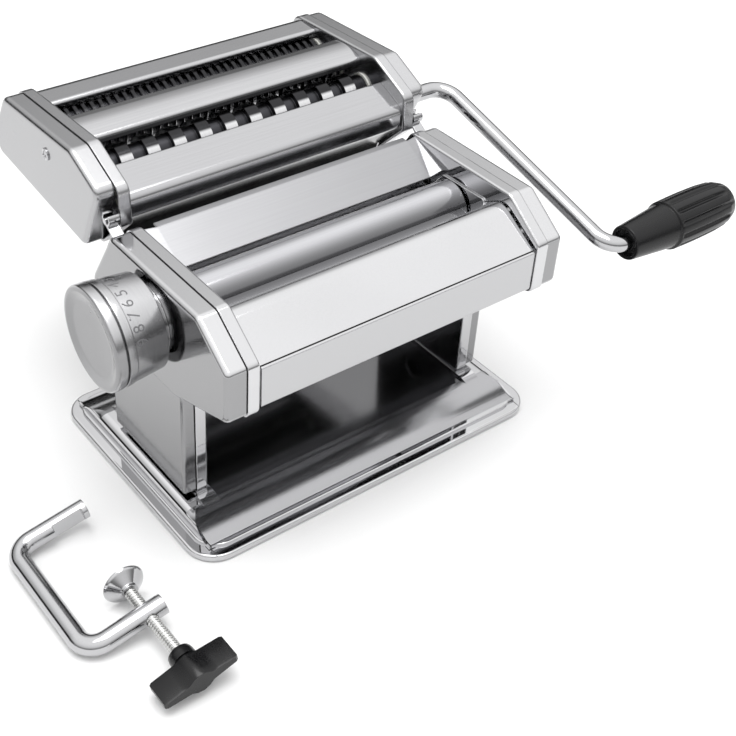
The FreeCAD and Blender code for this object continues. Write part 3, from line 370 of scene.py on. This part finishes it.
print("undressed:", sorted(set(nodes) - {name for names in DRESS.values() for name in names}))

# %% [markdown]
# ## A lathe
# The dial, the grip, the rolls and the cup are all turned on the real machine.  Blender's Screw modifier could turn
# a profile too, but the ribs of the grip and the thread need a radius that changes round the axis.  So the lathe
# is a function: a profile (places along the axis and radii), a count of steps and, if wanted, a rule for the radius.

# %% Profiles with eased corners
SIDE_SHARE = 0.48


def eased(corners, steps=5):
    """Profile points with each corner (along, radius, ease) rounded by an arc of that size."""
    points = []
    last = len(corners) - 1
    for i, corner in enumerate(corners):
        here = Vector(corner[:2])
        ease = corner[2] if len(corner) > 2 else 0.0
        if ease <= 0 or i in (0, last):
            points.append(here)
            continue
        back = Vector(corners[i - 1][:2]) - here
        ahead = Vector(corners[i + 1][:2]) - here
        room = SIDE_SHARE * min(back.length, ahead.length)
        back.normalize()
        ahead.normalize()
        half = back.angle(ahead) / 2
        run = min(ease / math.tan(half), room)
        for k in range(steps + 1):
            t = k / steps
            points.append(here + back * run * (1 - t) ** 2 + ahead * run * t ** 2)
    return points


def held(value):
    """A share kept between none and all."""
    return min(max(value, 0.0), 1.0)


print("one eased corner takes", len(eased([(0, 0), (4, 0, 1), (4, 4)])) - 2, "points")

# %% Meshes and the lathe
def add_mesh(name, verts, faces, material, sharp=35.0):
    """A smooth-shaded mesh that stays crisp at edges sharper than the given angle."""
    mesh = bpy.data.meshes.new(name)
    mesh.from_pydata(verts, [], faces)
    mesh.validate()
    bm = bmesh.new()
    bm.from_mesh(mesh)
    bmesh.ops.remove_doubles(bm, verts=bm.verts, dist=1e-7)
    bmesh.ops.recalc_face_normals(bm, faces=bm.faces)
    bm.to_mesh(mesh)
    bm.free()
    mesh.shade_smooth()
    mesh.set_sharp_from_angle(angle=math.radians(sharp))
    mesh.materials.append(material)
    piece = bpy.data.objects.new(name, mesh)
    bpy.context.scene.collection.objects.link(piece)
    return piece


def lathe(name, profile, axis, material, steps=96, radius_of=None, along="X", sharp=35.0):
    """Turns a profile (in millimetres) about an axis along X or Y through the given point."""
    verts = []
    faces = []
    count = len(profile)
    for k in range(steps):
        angle = 2 * math.pi * k / steps
        for place, radius in profile:
            r = radius_of(place, radius, angle) if radius_of else radius
            side, up = r * math.cos(angle), r * math.sin(angle)
            if along == "X":
                verts.append((place * MM, axis[0] + side * MM, axis[1] + up * MM))
            else:
                verts.append((axis[0] + side * MM, place * MM, axis[1] + up * MM))
    for k in range(steps):
        near, far = k * count, (k + 1) % steps * count
        for i in range(count - 1):
            faces.append((near + i, near + i + 1, far + i + 1, far + i))
    return add_mesh(name, verts, faces, material, sharp)


def fit_out(piece, body, slot, *replaced):
    """Says which body a piece moves with and which CAD nodes it stands for; the slot argument is not used."""
    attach(piece, body)
    if replaced:
        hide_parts(*replaced)
    print(piece.name, len(piece.data.vertices), "points, rides on", body)
    return piece


# %% [markdown]
# ## The dial
# The knob that sets the roller gap is a conical ring with a stepped band, closed by a dished cap with a
# rolled rim.  The model's knob has the cone and the cap but plain edges.  The light catches just those edges, so
# ring and cap are turned again with the step, the rim and the dish in their profiles.

# %% Dial ring and cap
DIAL = (-20.0 * MM, 108.5 * MM)
RING_BACK, RING_FRONT, BAND = -95.6, -115.0, -111.2
WAIST, FLARE, RIM, STEP = 21.8, 1.8, 23.9, 0.35
RING_INSIDE, RING_HOLLOW, HUB, HUB_BORE = 17.6, 21.2, 8.5, 5.06
CAP_SEAT, CAP_RIM = 22.4, 24.0


def ring_radius(place):
    """Outside radius of the ring's back band at a place along X, in millimetres."""
    return WAIST + FLARE * (RING_BACK - place) / (RING_BACK - RING_FRONT)


ring = eased([
    (RING_BACK, RING_INSIDE), (RING_BACK, WAIST, 0.5), (BAND + 0.05, ring_radius(BAND)),
    (BAND, ring_radius(BAND) + STEP, 0.1), (RING_FRONT, RIM, 0.3), (RING_FRONT, HUB_BORE),
    (RING_BACK - 4.0, HUB_BORE), (RING_BACK - 4.0, HUB), (RING_FRONT + 2.2, HUB), (RING_FRONT + 2.2, RING_HOLLOW),
    (RING_BACK, RING_INSIDE),
])
fit_out(lathe("dial_ring_turned", ring, DIAL, dial_steel, 128), "dial", "polished_steel", "dial_ring")
cap = eased([
    (RING_FRONT, 0.0), (RING_FRONT, CAP_SEAT), (RING_FRONT - 0.8, CAP_SEAT), (RING_FRONT - 0.8, CAP_RIM, 0.5),
    (RING_FRONT - 5.2, CAP_RIM, 1.4), (RING_FRONT - 5.6, 21.6, 1.4), (RING_FRONT - 4.4, 17.0, 9.0),
    (RING_FRONT - 3.8, 0.0),
], 8)
fit_out(lathe("dial_cap_turned", cap, DIAL, dial_steel, 128, sharp=50.0), "dial", "polished_steel", "dial_cap")

# %% [markdown]
# ## The dial's figures
# The figures 0 to 9 are stamped round the ring's back band, one for each index step of about 14 degrees.  Cutting
# them in would need a very fine ring, so they are laid on: each figure is Blender's own type turned into a flat
# mesh, whose points are then wrapped round the cone a hair above the steel.

# %% Stamped figures
FIRST_FIGURE, FIGURE_STEP = 33.9, 14.2
FIGURE_HEIGHT, FIGURE_FOOT, FIGURE_PROUD = 5.2, -105.2, 0.04
HEIGHT_IN_TYPE, THINNED = 0.7, -0.02
figure_verts, figure_faces = [], []
for number in range(10):
    text = bpy.data.curves.new("figure", "FONT")
    text.body = str(number)
    text.size = FIGURE_HEIGHT / HEIGHT_IN_TYPE
    text.offset = THINNED
    text.align_x = "CENTER"
    text.resolution_u = 3
    holder = bpy.data.objects.new("figure", text)
    flat = bpy.data.meshes.new_from_object(holder)
    middle = math.radians(FIRST_FIGURE + FIGURE_STEP * number)
    base = len(figure_verts)
    for vertex in flat.vertices:
        place = FIGURE_FOOT - vertex.co.y
        radius = ring_radius(place) + FIGURE_PROUD
        angle = middle - vertex.co.x / radius
        side, up = radius * math.cos(angle) * MM, radius * math.sin(angle) * MM
        figure_verts.append((place * MM, DIAL[0] + side, DIAL[1] + up))
    figure_faces += [tuple(base + v for v in face.vertices) for face in flat.polygons]
    bpy.data.objects.remove(holder)
    bpy.data.curves.remove(text)
fit_out(add_mesh("dial_figures", figure_verts, figure_faces, stamp_dark), "dial", "polished_steel")

# %% [markdown]
# ## The grip
# A black moulded grip turns on the crank's end: a plain cone next to the rod, then a barrel with a ring of
# ribs, and a domed end.  The barrel is moulded a little proud of the cone.  Grooves could be cut by a boolean, but
# moulded ones have soft sides.  So the lathe pulls the radius down in a smooth wave, which fades out towards both
# ends of the barrel.

# %% Grip
GRIP_AXIS = (-87.745 * MM, 102.511 * MM)
GRIP_START, GRIP_END, GRIP_NECK = 127.0, 197.5, 27.0
RIBS, GROOVE_DEPTH, BARREL_RADIUS, BARREL_SWELL, BARREL_RUNS = 12, 1.35, 12.3, 0.25, 20
BARREL = GRIP_START + GRIP_NECK


def ribbed(place, radius, angle):
    """The barrel's radius with narrow grooves between broad ribs."""
    fade = held((place - BARREL - 0.6) / 2.4) * held((GRIP_END - 3.0 - place) / 9.0)
    groove = max(math.cos(RIBS * angle), 0.0) ** 1.6
    return radius - GROOVE_DEPTH * groove * fade * fade * (3 - 2 * fade)


barrel = [(BARREL + 0.8 + 1.4 * k, BARREL_RADIUS + BARREL_SWELL * math.sin(math.pi * k / BARREL_RUNS), 0.0)
          for k in range(BARREL_RUNS + 1)]
grip = eased([
    (GRIP_START + 2.4, 4.2), (GRIP_START + 2.4, 6.0, 0.3), (GRIP_START, 7.0, 0.3), (GRIP_START, 8.6, 0.7),
    (BARREL - 0.2, 11.2, 0.5), (BARREL, 11.4, 0.2), (BARREL + 0.5, 12.2, 0.3),
] + barrel + [
    (GRIP_END - 7.0, 11.6, 4.0), (GRIP_END, 9.0, 3.6), (GRIP_END - 0.3, 0.0),
], 6)
fit_out(lathe("crank_grip_moulded", grip, GRIP_AXIS, black_plastic, 192, ribbed, sharp=50.0),
        "crank_handle", "black_plastic", "crank_grip")

# %% [markdown]
# ## The cutter rolls
# Each pair of rolls has square rings that run in the other roll's grooves, so a sheet of dough is sheared
# into strips.  The rings' crisp edges catch the light as rows of bright squares.  A Bevel modifier on the model's
# rolls would round every edge of theirs, so the rolls are turned here, with a tiny bevel on each ring alone.

# %% Roll profile
ROLL_HALF, JOURNAL, BORE = 74.5, 5.8, 4.2
LEFT_END, RIGHT_END, PLAIN_END, BORE_DEPTH = -84.5, 90.2, 82.0, 13.0
EDGE = 0.18


def roll_profile(middles, width, radius, core, socket):
    """Rings of one width at the given middles; a driven roll ends in a socket for the crank."""
    points = [(LEFT_END, 0.0), (LEFT_END, JOURNAL), (-ROLL_HALF, JOURNAL), (-ROLL_HALF, core)]
    for middle in middles:
        left, right = max(middle - width / 2, -ROLL_HALF), min(middle + width / 2, ROLL_HALF)
        points += [(left, core), (left, radius - EDGE), (left + EDGE, radius), (right - EDGE, radius),
                   (right, radius - EDGE), (right, core)]
    points += [(ROLL_HALF, core), (ROLL_HALF, JOURNAL)]
    if socket:
        bottom = RIGHT_END - BORE_DEPTH
        points += [(RIGHT_END, JOURNAL), (RIGHT_END, BORE), (bottom, BORE), (bottom, 0.0)]
    else:
        points += [(PLAIN_END, JOURNAL), (PLAIN_END, 0.0)]
    return points


print("one ring takes", len(roll_profile([0.0], 2.0, 9.0, 7.0, False)) - len(roll_profile([], 2.0, 9.0, 7.0, False)),
      "points")

# %% Rolls
RING_PLAY, CLEAR, GROOVE_LIP = 0.25, 0.4, 0.4
WIDE_PITCH, THIN_PITCH, THIN_COUNT = 14.0, 4.4, 33
wide_axes = ((38.0, 135.5), (54.433, 138.993))
thin_axes = ((78.2, 142.3), (94.8, 142.3))
wide_rows = ([WIDE_PITCH * k for k in range(-5, 6)], [WIDE_PITCH * (k + 0.5) for k in range(-5, 5)])
thin_first = -THIN_PITCH * (THIN_COUNT - 1) / 2 - THIN_PITCH / 4
thin_rows = ([thin_first + THIN_PITCH * k for k in range(THIN_COUNT)],
             [thin_first + THIN_PITCH * (k + 0.5) for k in range(THIN_COUNT)])
for kind, axes, rows, pitch, radius, centres in (
    ("wide", wide_axes, wide_rows, WIDE_PITCH, 9.5, 16.8),
    ("thin", thin_axes, thin_rows, THIN_PITCH, 9.2, 16.6),
):
    core = centres - radius - CLEAR
    for index, (place, body) in enumerate((("front", "driver"), ("rear", "follower"))):
        profile = roll_profile(rows[index], pitch / 2 - RING_PLAY, radius, core, index == 0)
        axis = (axes[index][0] * MM, axes[index][1] * MM)
        roll = lathe(f"{kind}_{place}_roll_turned", profile, axis, turned_steel, 64)
        # Faces in the grooves take the near-black steel: painted shade between the rings.
        roll.data.materials.append(groove_painted_shade)
        for face in roll.data.polygons:
            from_axis = math.hypot(face.center.y - axis[0], face.center.z - axis[1])
            in_groove = from_axis < (core + GROOVE_LIP) * MM and abs(face.center.x) < ROLL_HALF * MM
            face.material_index = int(in_groove)
        fit_out(roll, f"{kind}_{body}", "satin_steel", f"{kind}_{place}_roll")

# %% [markdown]
# ## Cross-head screws
# One screw holds each cover of the cutter head.  Its low dome has a cross pressed in for the driver.  A boolean
# could cut the cross, but it leaves ragged faces on so small a dome.  Instead a disc of rings is raised to a dome,
# and the points inside an arm of the cross are pushed back.

# %% Screw heads
SCREW_Y, SCREW_Z, SEAT_X = 70.0, 145.0, 91.5
SCREW_RADIUS, SCREW_RISE, DOME_DROP = 3.0, 1.2, 0.45
CROSS_DEPTH, CROSS_HALF, CROSS_REACH = 0.8, 0.60, 2.0
SCREW_RINGS, SCREW_STEPS = 24, 96


def screw_rise(across, up):
    """How far the head stands out at a point of its disc, in millimetres."""
    dome = SCREW_RISE * (1 - DOME_DROP * (across ** 2 + up ** 2) / SCREW_RADIUS ** 2)
    near, far = sorted((abs(across), abs(up)))
    return dome - CROSS_DEPTH * held((CROSS_HALF - near) / 0.2) * held((CROSS_REACH - far) / 0.3)


screw_verts, screw_faces = [], []
for side in (-1, 1):
    first = len(screw_verts)
    for ring_no in range(SCREW_RINGS + 2):
        radius = SCREW_RADIUS * min(ring_no / SCREW_RINGS, 1.0)
        for k in range(SCREW_STEPS):
            angle = 2 * math.pi * k / SCREW_STEPS
            across, up = radius * math.cos(angle), radius * math.sin(angle)
            rise = screw_rise(across, up) if ring_no <= SCREW_RINGS else 0.0
            screw_verts.append((side * (SEAT_X + rise) * MM, (SCREW_Y + across) * MM, (SCREW_Z + up) * MM))
    for ring_no in range(SCREW_RINGS + 1):
        inner = first + ring_no * SCREW_STEPS
        outer = inner + SCREW_STEPS
        for k in range(SCREW_STEPS):
            after = (k + 1) % SCREW_STEPS
            screw_faces.append((inner + k, inner + after, outer + after, outer + k))
fit_out(add_mesh("cutter_screws_crossed", screw_verts, screw_faces, chrome_rod), "cutter_head", "polished_steel",
        "cutter_screws")

# %% [markdown]
# ## The clamp's screw and cup
# The loose table clamp has a rolled thread and a pressed cup that bites under the table.  A thread could be a
# ridge swept along a spiral and joined to the rod.  On the lathe it is simpler: the radius dips once per pitch, and
# the dip moves along as the angle goes round, which winds it into a screw.

# %% Thread and cup
SCREW_AXIS = (-136.4764 * MM, 9.9351 * MM)
SCREW_TOP, SCREW_END, PITCH = -68.5, -111.0, 1.5
CREST, THREAD_DEPTH, ROWS_PER_TURN = 2.88, 0.55, 8


def threaded(place, radius, angle):
    """The rod's radius with the thread cut in; its end caps stay flat."""
    if radius < CREST:
        return radius
    turn = (place / PITCH - angle / (2 * math.pi)) % 1.0
    return radius - THREAD_DEPTH * (0.5 + 0.5 * math.cos(2 * math.pi * turn))


rod_rows = int((SCREW_TOP - SCREW_END) / PITCH * ROWS_PER_TURN)
rod = [(SCREW_END + (SCREW_TOP - SCREW_END) * k / rod_rows, CREST) for k in range(rod_rows + 1)]
rod = [(SCREW_END, 0.0)] + rod + [(SCREW_TOP, 0.0)]
fit_out(lathe("clamp_screw_threaded", rod, SCREW_AXIS, zinc_thread, 40, threaded, "Y", 60.0),
        "clamp_spindle", "polished_steel", "clamp_screw")
cup = eased([
    (-68.5, 0.0), (-68.5, 4.0), (-67.2, 4.0, 0.8), (-63.6, 9.2, 1.0), (-62.4, 9.85, 0.3), (-62.4, 9.2, 0.2),
    (-63.4, 8.6, 0.6), (-65.4, 3.6, 1.2), (-65.4, 0.0),
])
fit_out(lathe("clamp_cup_pressed", cup, SCREW_AXIS, chrome_rod, 72, along="Y"),
        "clamp_jaw", "polished_steel", "clamp_pad")

# %% [markdown]
# ## The wing knob
# The clamp's knob is moulded: a round hub with two wings that thin out towards their tips, and a collar round the
# screw.  It could be sculpted from a subdivided block.  It is a straight moulding, though, so one outline is drawn
# round hub and wings, set out at four places along the screw, and drawn in a little at both ends for a soft edge.

# %% Wing knob
KNOB_TURN = math.radians(10.4)
KNOB_BACK, KNOB_FRONT, KNOB_EASE = -114.0, -127.0, 0.8
WING_REACH, TIP_HALF, WING_TAPER, HUB_RADIUS, HALF_RUNS = 17.5, 1.5, 1.9, 5.6, 6
knob_outline = []
for side, span in ((1, range(2 * HALF_RUNS + 1)), (-1, range(2 * HALF_RUNS, -1, -1))):
    for k in span:
        across = WING_REACH * (1 - k / HALF_RUNS)
        half = TIP_HALF + WING_TAPER * (1 - abs(across) / WING_REACH)
        if abs(across) < HUB_RADIUS:
            half = max(half, math.sqrt(HUB_RADIUS ** 2 - across ** 2))
        knob_outline.append((across, side * half))
knob_verts, knob_faces = [], []
sections = ((KNOB_BACK, 0.94), (KNOB_BACK - KNOB_EASE, 1.0), (KNOB_FRONT + KNOB_EASE, 1.0), (KNOB_FRONT, 0.94))
for place, share in sections:
    for across, up in knob_outline:
        x, z = across * share, up * share
        knob_verts.append((
            SCREW_AXIS[0] + (x * math.cos(KNOB_TURN) - z * math.sin(KNOB_TURN)) * MM,
            place * MM,
            SCREW_AXIS[1] + (x * math.sin(KNOB_TURN) + z * math.cos(KNOB_TURN)) * MM,
        ))
count = len(knob_outline)
for near in range(0, count * (len(sections) - 1), count):
    for i in range(count):
        after = (i + 1) % count
        knob_faces.append((near + i, near + after, near + count + after, near + count + i))
for start in (0, count * (len(sections) - 1)):
    for i in range(2 * HALF_RUNS):
        knob_faces.append((start + i, start + i + 1, start + count - 2 - i, start + count - 1 - i))
fit_out(add_mesh("clamp_knob_moulded", knob_verts, knob_faces, black_plastic, 30.0),
        "clamp_spindle", "black_plastic", "clamp_knob")
collar = eased([(-109.0, 2.95), (-109.0, 5.4, 0.5), (-111.0, 5.8, 0.3), (-114.2, 5.8)])
fit_out(lathe("clamp_knob_collar", collar, SCREW_AXIS, black_plastic, 48, along="Y"),
        "clamp_spindle", "black_plastic")

# %% [markdown]
# ## Seams
# The pressed covers meet the side plates' turned edges in a thin dark line, which outlines the body and the
# cutter head in the light.  The real gap is a few tenths of a millimetre, too fine to show as a gap.  A narrow dark
# band just proud of the two edges draws it, along the outline that the covers have in the model.

# %% Seam bands
BODY_EDGE = [(14.0, 131.5, 6.0), (-58.0, 131.5, 5.0), (-80.5, 115.0, 4.0), (-79.5, 88.5, 5.0), (-37.0, 76.5, 9.0),
             (-35.0, 12.5, 2.5), (31.0, 12.5, 2.5), (30.0, 78.0, 9.0), (36.0, 98.0, 12.0)]
HEAD_EDGE = [(113.5, 156.5, 8.0), (45.5, 159.0, 7.0), (20.5, 147.5, 6.0), (39.5, 110.5, 5.0), (125.5, 120.0, 6.0),
             (129.5, 131.5, 8.0)]
SEAM_AT, SEAM_WIDTH, SEAM_IN = 82.0, 0.4, 0.76


def loop_of(corners, steps=6):
    """Points round a closed outline (y, z, radius), corners rounded."""
    points = []
    for i, (y, z, radius) in enumerate(corners):
        here = Vector((y, z))
        back = (Vector(corners[i - 1][:2]) - here).normalized()
        ahead = (Vector(corners[(i + 1) % len(corners)][:2]) - here).normalized()
        half = back.angle(ahead) / 2
        run = radius / math.tan(half)
        centre = here + (back + ahead).normalized() * radius / math.sin(half)
        start, end = here + back * run - centre, here + ahead * run - centre
        for k in range(steps + 1):
            ray = start.lerp(end, k / steps).normalized() * radius
            points.append(centre + ray)
    return points


def seam(name, corners, side):
    """A thin dark band laid round a cover, next to the edge of its side plate."""
    outline = loop_of(corners)
    count = len(outline)
    verts = []
    for i, here in enumerate(outline):
        along = (outline[(i + 1) % count] - outline[i - 1]).normalized()
        laid = here + Vector((-along.y, along.x)) * SEAM_IN
        for shift in (0.0, SEAM_WIDTH):
            verts.append((side * (SEAM_AT + shift) * MM, laid.x * MM, laid.y * MM))
    faces = [(2 * i, 2 * i + 1, (2 * i + 3) % (2 * count), (2 * i + 2) % (2 * count)) for i in range(count)]
    return add_mesh(name, verts, faces, seam_and_shadow_dark)


for side, place in ((-1, "left"), (1, "right")):
    fit_out(seam(f"{place}_body_seam", BODY_EDGE, side), "machine_frame", "black_rubber")
    fit_out(seam(f"{place}_head_seam", HEAD_EDGE, side), "cutter_head", "black_rubber")

# %% [markdown]
# ## Two more shadow lines
# Below the cutter's front sheet there is a deep shadow, and the front panel's fold shows as a dark line under its
# slope.  Both come from darkness that a bright studio does not have.  So both are painted shadow: a black strip that
# hangs from the head stands for the first, and a black line laid on the slope draws the second.

# %% Painted shadow strip and fold line
# A black strip under the cutter's front sheet: painted shadow in the gap below it.
SHADOW_STRIP_ENDS, SHADOW_STRIP_SECTION = (-75.5, 75.5), ((38.6, 114.6), (39.4, 113.0), (41.4, 105.0))
shadow_strip = [(x * MM, y * MM, z * MM) for x in SHADOW_STRIP_ENDS for y, z in SHADOW_STRIP_SECTION]
fit_out(add_mesh("cutter_front_painted_shadow", shadow_strip, [(0, 1, 4, 3), (1, 2, 5, 4)], seam_and_shadow_dark), "cutter_head", "black_rubber")
# A black line on the front panel's slope: painted shadow along its fold.
FOLD_ENDS, FOLD_CORNER = (-75.0, 75.0), Vector((-79.4, 111.4))
SLOPE_WAY, SLOPE_OUT = Vector((0.846, 0.534)), Vector((-0.534, 0.846))
fold_shadow_line = []
for x in FOLD_ENDS:
    for along in (1.0, 1.7):
        y, z = FOLD_CORNER + SLOPE_WAY * along + SLOPE_OUT * 0.04
        fold_shadow_line.append((x * MM, y * MM, z * MM))
fit_out(add_mesh("front_fold_painted_shadow", fold_shadow_line, [(0, 1, 3, 2)], seam_and_shadow_dark), "machine_frame", "black_rubber")

# %% [markdown]
# ## The floor
# The machine stands on a sheet of pale paper.  A small sheet would show its edge in the steel, so the floor is
# wide, and its paper darkens far out: that dark ring is the dim room that the upright sides mirror.

# %% Floor
HALF_FLOOR = 6.0
PAPER, FAR_PAPER, PALE_REACH, DIM_REACH = (0.84, 0.84, 0.84), (0.26, 0.26, 0.26), 0.9, 2.2
floor_material, f = new_finish("floor_paper")
fibre = f.noise(f.place(), 900.0, 3.0)
away = f.make("ShaderNodeVectorMath", {"operation": "LENGTH"}, {0: f.place()}, output=1)
shade = f.between(away, PALE_REACH, DIM_REACH) * 0.96 + fibre * 0.04
f.surface({"Base Color": f.mix(shade, PAPER, FAR_PAPER), "Roughness": 0.85 + fibre * 0.1})
corners = [(x * HALF_FLOOR, y * HALF_FLOOR, 0.0) for x, y in ((-1, -1), (1, -1), (1, 1), (-1, 1))]
floor = add_mesh("floor", corners, [(0, 1, 2, 3)], floor_material)
print("floor", 2 * HALF_FLOOR, "m square")

# %% [markdown]
# ## Dome and lamp
# Polished steel shows nothing but its surroundings, so the light is built like a product table: a white dome
# overhead, darker towards the horizon and behind the machine, and one large soft panel above.  The dark band low
# behind gives the base and the inner walls their deep tones.  A picture of a studio would do the same, but a few
# sums on the direction say plainly what is bright and what is dark.

# %% Dome
world = bpy.data.worlds.new("studio")
bpy.context.scene.world = world
world.use_nodes = True
f = Finish(world.node_tree)
way = f.make("ShaderNodeTexCoord", output="Generated")
behind, above = f.part(way, 1), f.part(way, 2)
height = f.between(above, 0.0, 0.9)
horizon = 1 - f.between(above, 0.05, 0.40)
low_band = f.between(behind, 0.10, 0.50) * (1 - f.between(above, 0.22, 0.40))
rear_wall = f.between(behind, 0.20, 0.90) * (1 - f.between(above, 0.50, 0.80))
strength = (0.80 + 0.60 * height) * (1 - 0.42 * rear_wall) * (1 - 0.93 * low_band) * (1 - 0.65 * horizon)
glow = f.make("ShaderNodeBackground", None, {"Color": (1.0, 1.0, 1.0, 1.0), "Strength": strength})
f.make("ShaderNodeOutputWorld", None, {"Surface": glow})
print("dome:", len(world.node_tree.nodes), "nodes")

# %% Lamp
LAMP_AT, LAMP_AIM = Vector((-0.1, -0.1, 1.5)), Vector((0.0, 0.0, 0.1))
light = bpy.data.lights.new("overhead", "AREA")
light.shape = "RECTANGLE"
light.size, light.size_y, light.energy = 1.1, 0.9, 13.0
lamp = bpy.data.objects.new("overhead", light)
lamp.location = LAMP_AT
lamp.rotation_mode = "QUATERNION"
lamp.rotation_quaternion = (LAMP_AIM - LAMP_AT).to_track_quat("-Z", "Y")
bpy.context.scene.collection.objects.link(lamp)
print("lamp", light.energy, "W,", round((LAMP_AIM - LAMP_AT).length, 2), "m away")

# %% [markdown]
# ## Camera
# The camera stands where the photograph was taken from.  It could be set by eye, but parallel edges of the machine
# give its direction, its distance and the middle of the picture by perspective, so those numbers are used.  The
# lens is as long as the picture's perspective asks, and a small shift sets the frame.

# %% Camera
CAMERA = (-0.30716, -0.43011, 0.44564)
AZIMUTH, ELEVATION, ROLL = 38.31, 36.44, 2.30
FOCUS, IMAGE, CENTRE = 1335.0, 736.0, (351.74, 323.21)
turn, tilt = math.radians(AZIMUTH), math.radians(ELEVATION)
back = Vector((-math.sin(turn) * math.cos(tilt), -math.cos(turn) * math.cos(tilt), math.sin(tilt)))
right = Vector((math.cos(turn), -math.sin(turn), 0.0))
up = back.cross(right)
lens = bpy.data.cameras.new("camera")
lens.sensor_width = 36.0
lens.lens = FOCUS / IMAGE * lens.sensor_width
lens.shift_x = 0.5 - CENTRE[0] / IMAGE
lens.shift_y = CENTRE[1] / IMAGE - 0.5
camera = bpy.data.objects.new("camera", lens)
bpy.context.scene.collection.objects.link(camera)
standing = Matrix((right, up, back)).transposed().to_4x4()
camera.matrix_world = Matrix.Translation(CAMERA) @ standing @ Matrix.Rotation(math.radians(ROLL), 4, "Z")
bpy.context.scene.camera = camera
bpy.context.scene.view_settings.view_transform = "Standard"
print("camera", [round(v, 3) for v in camera.location], "lens", round(lens.lens, 2))
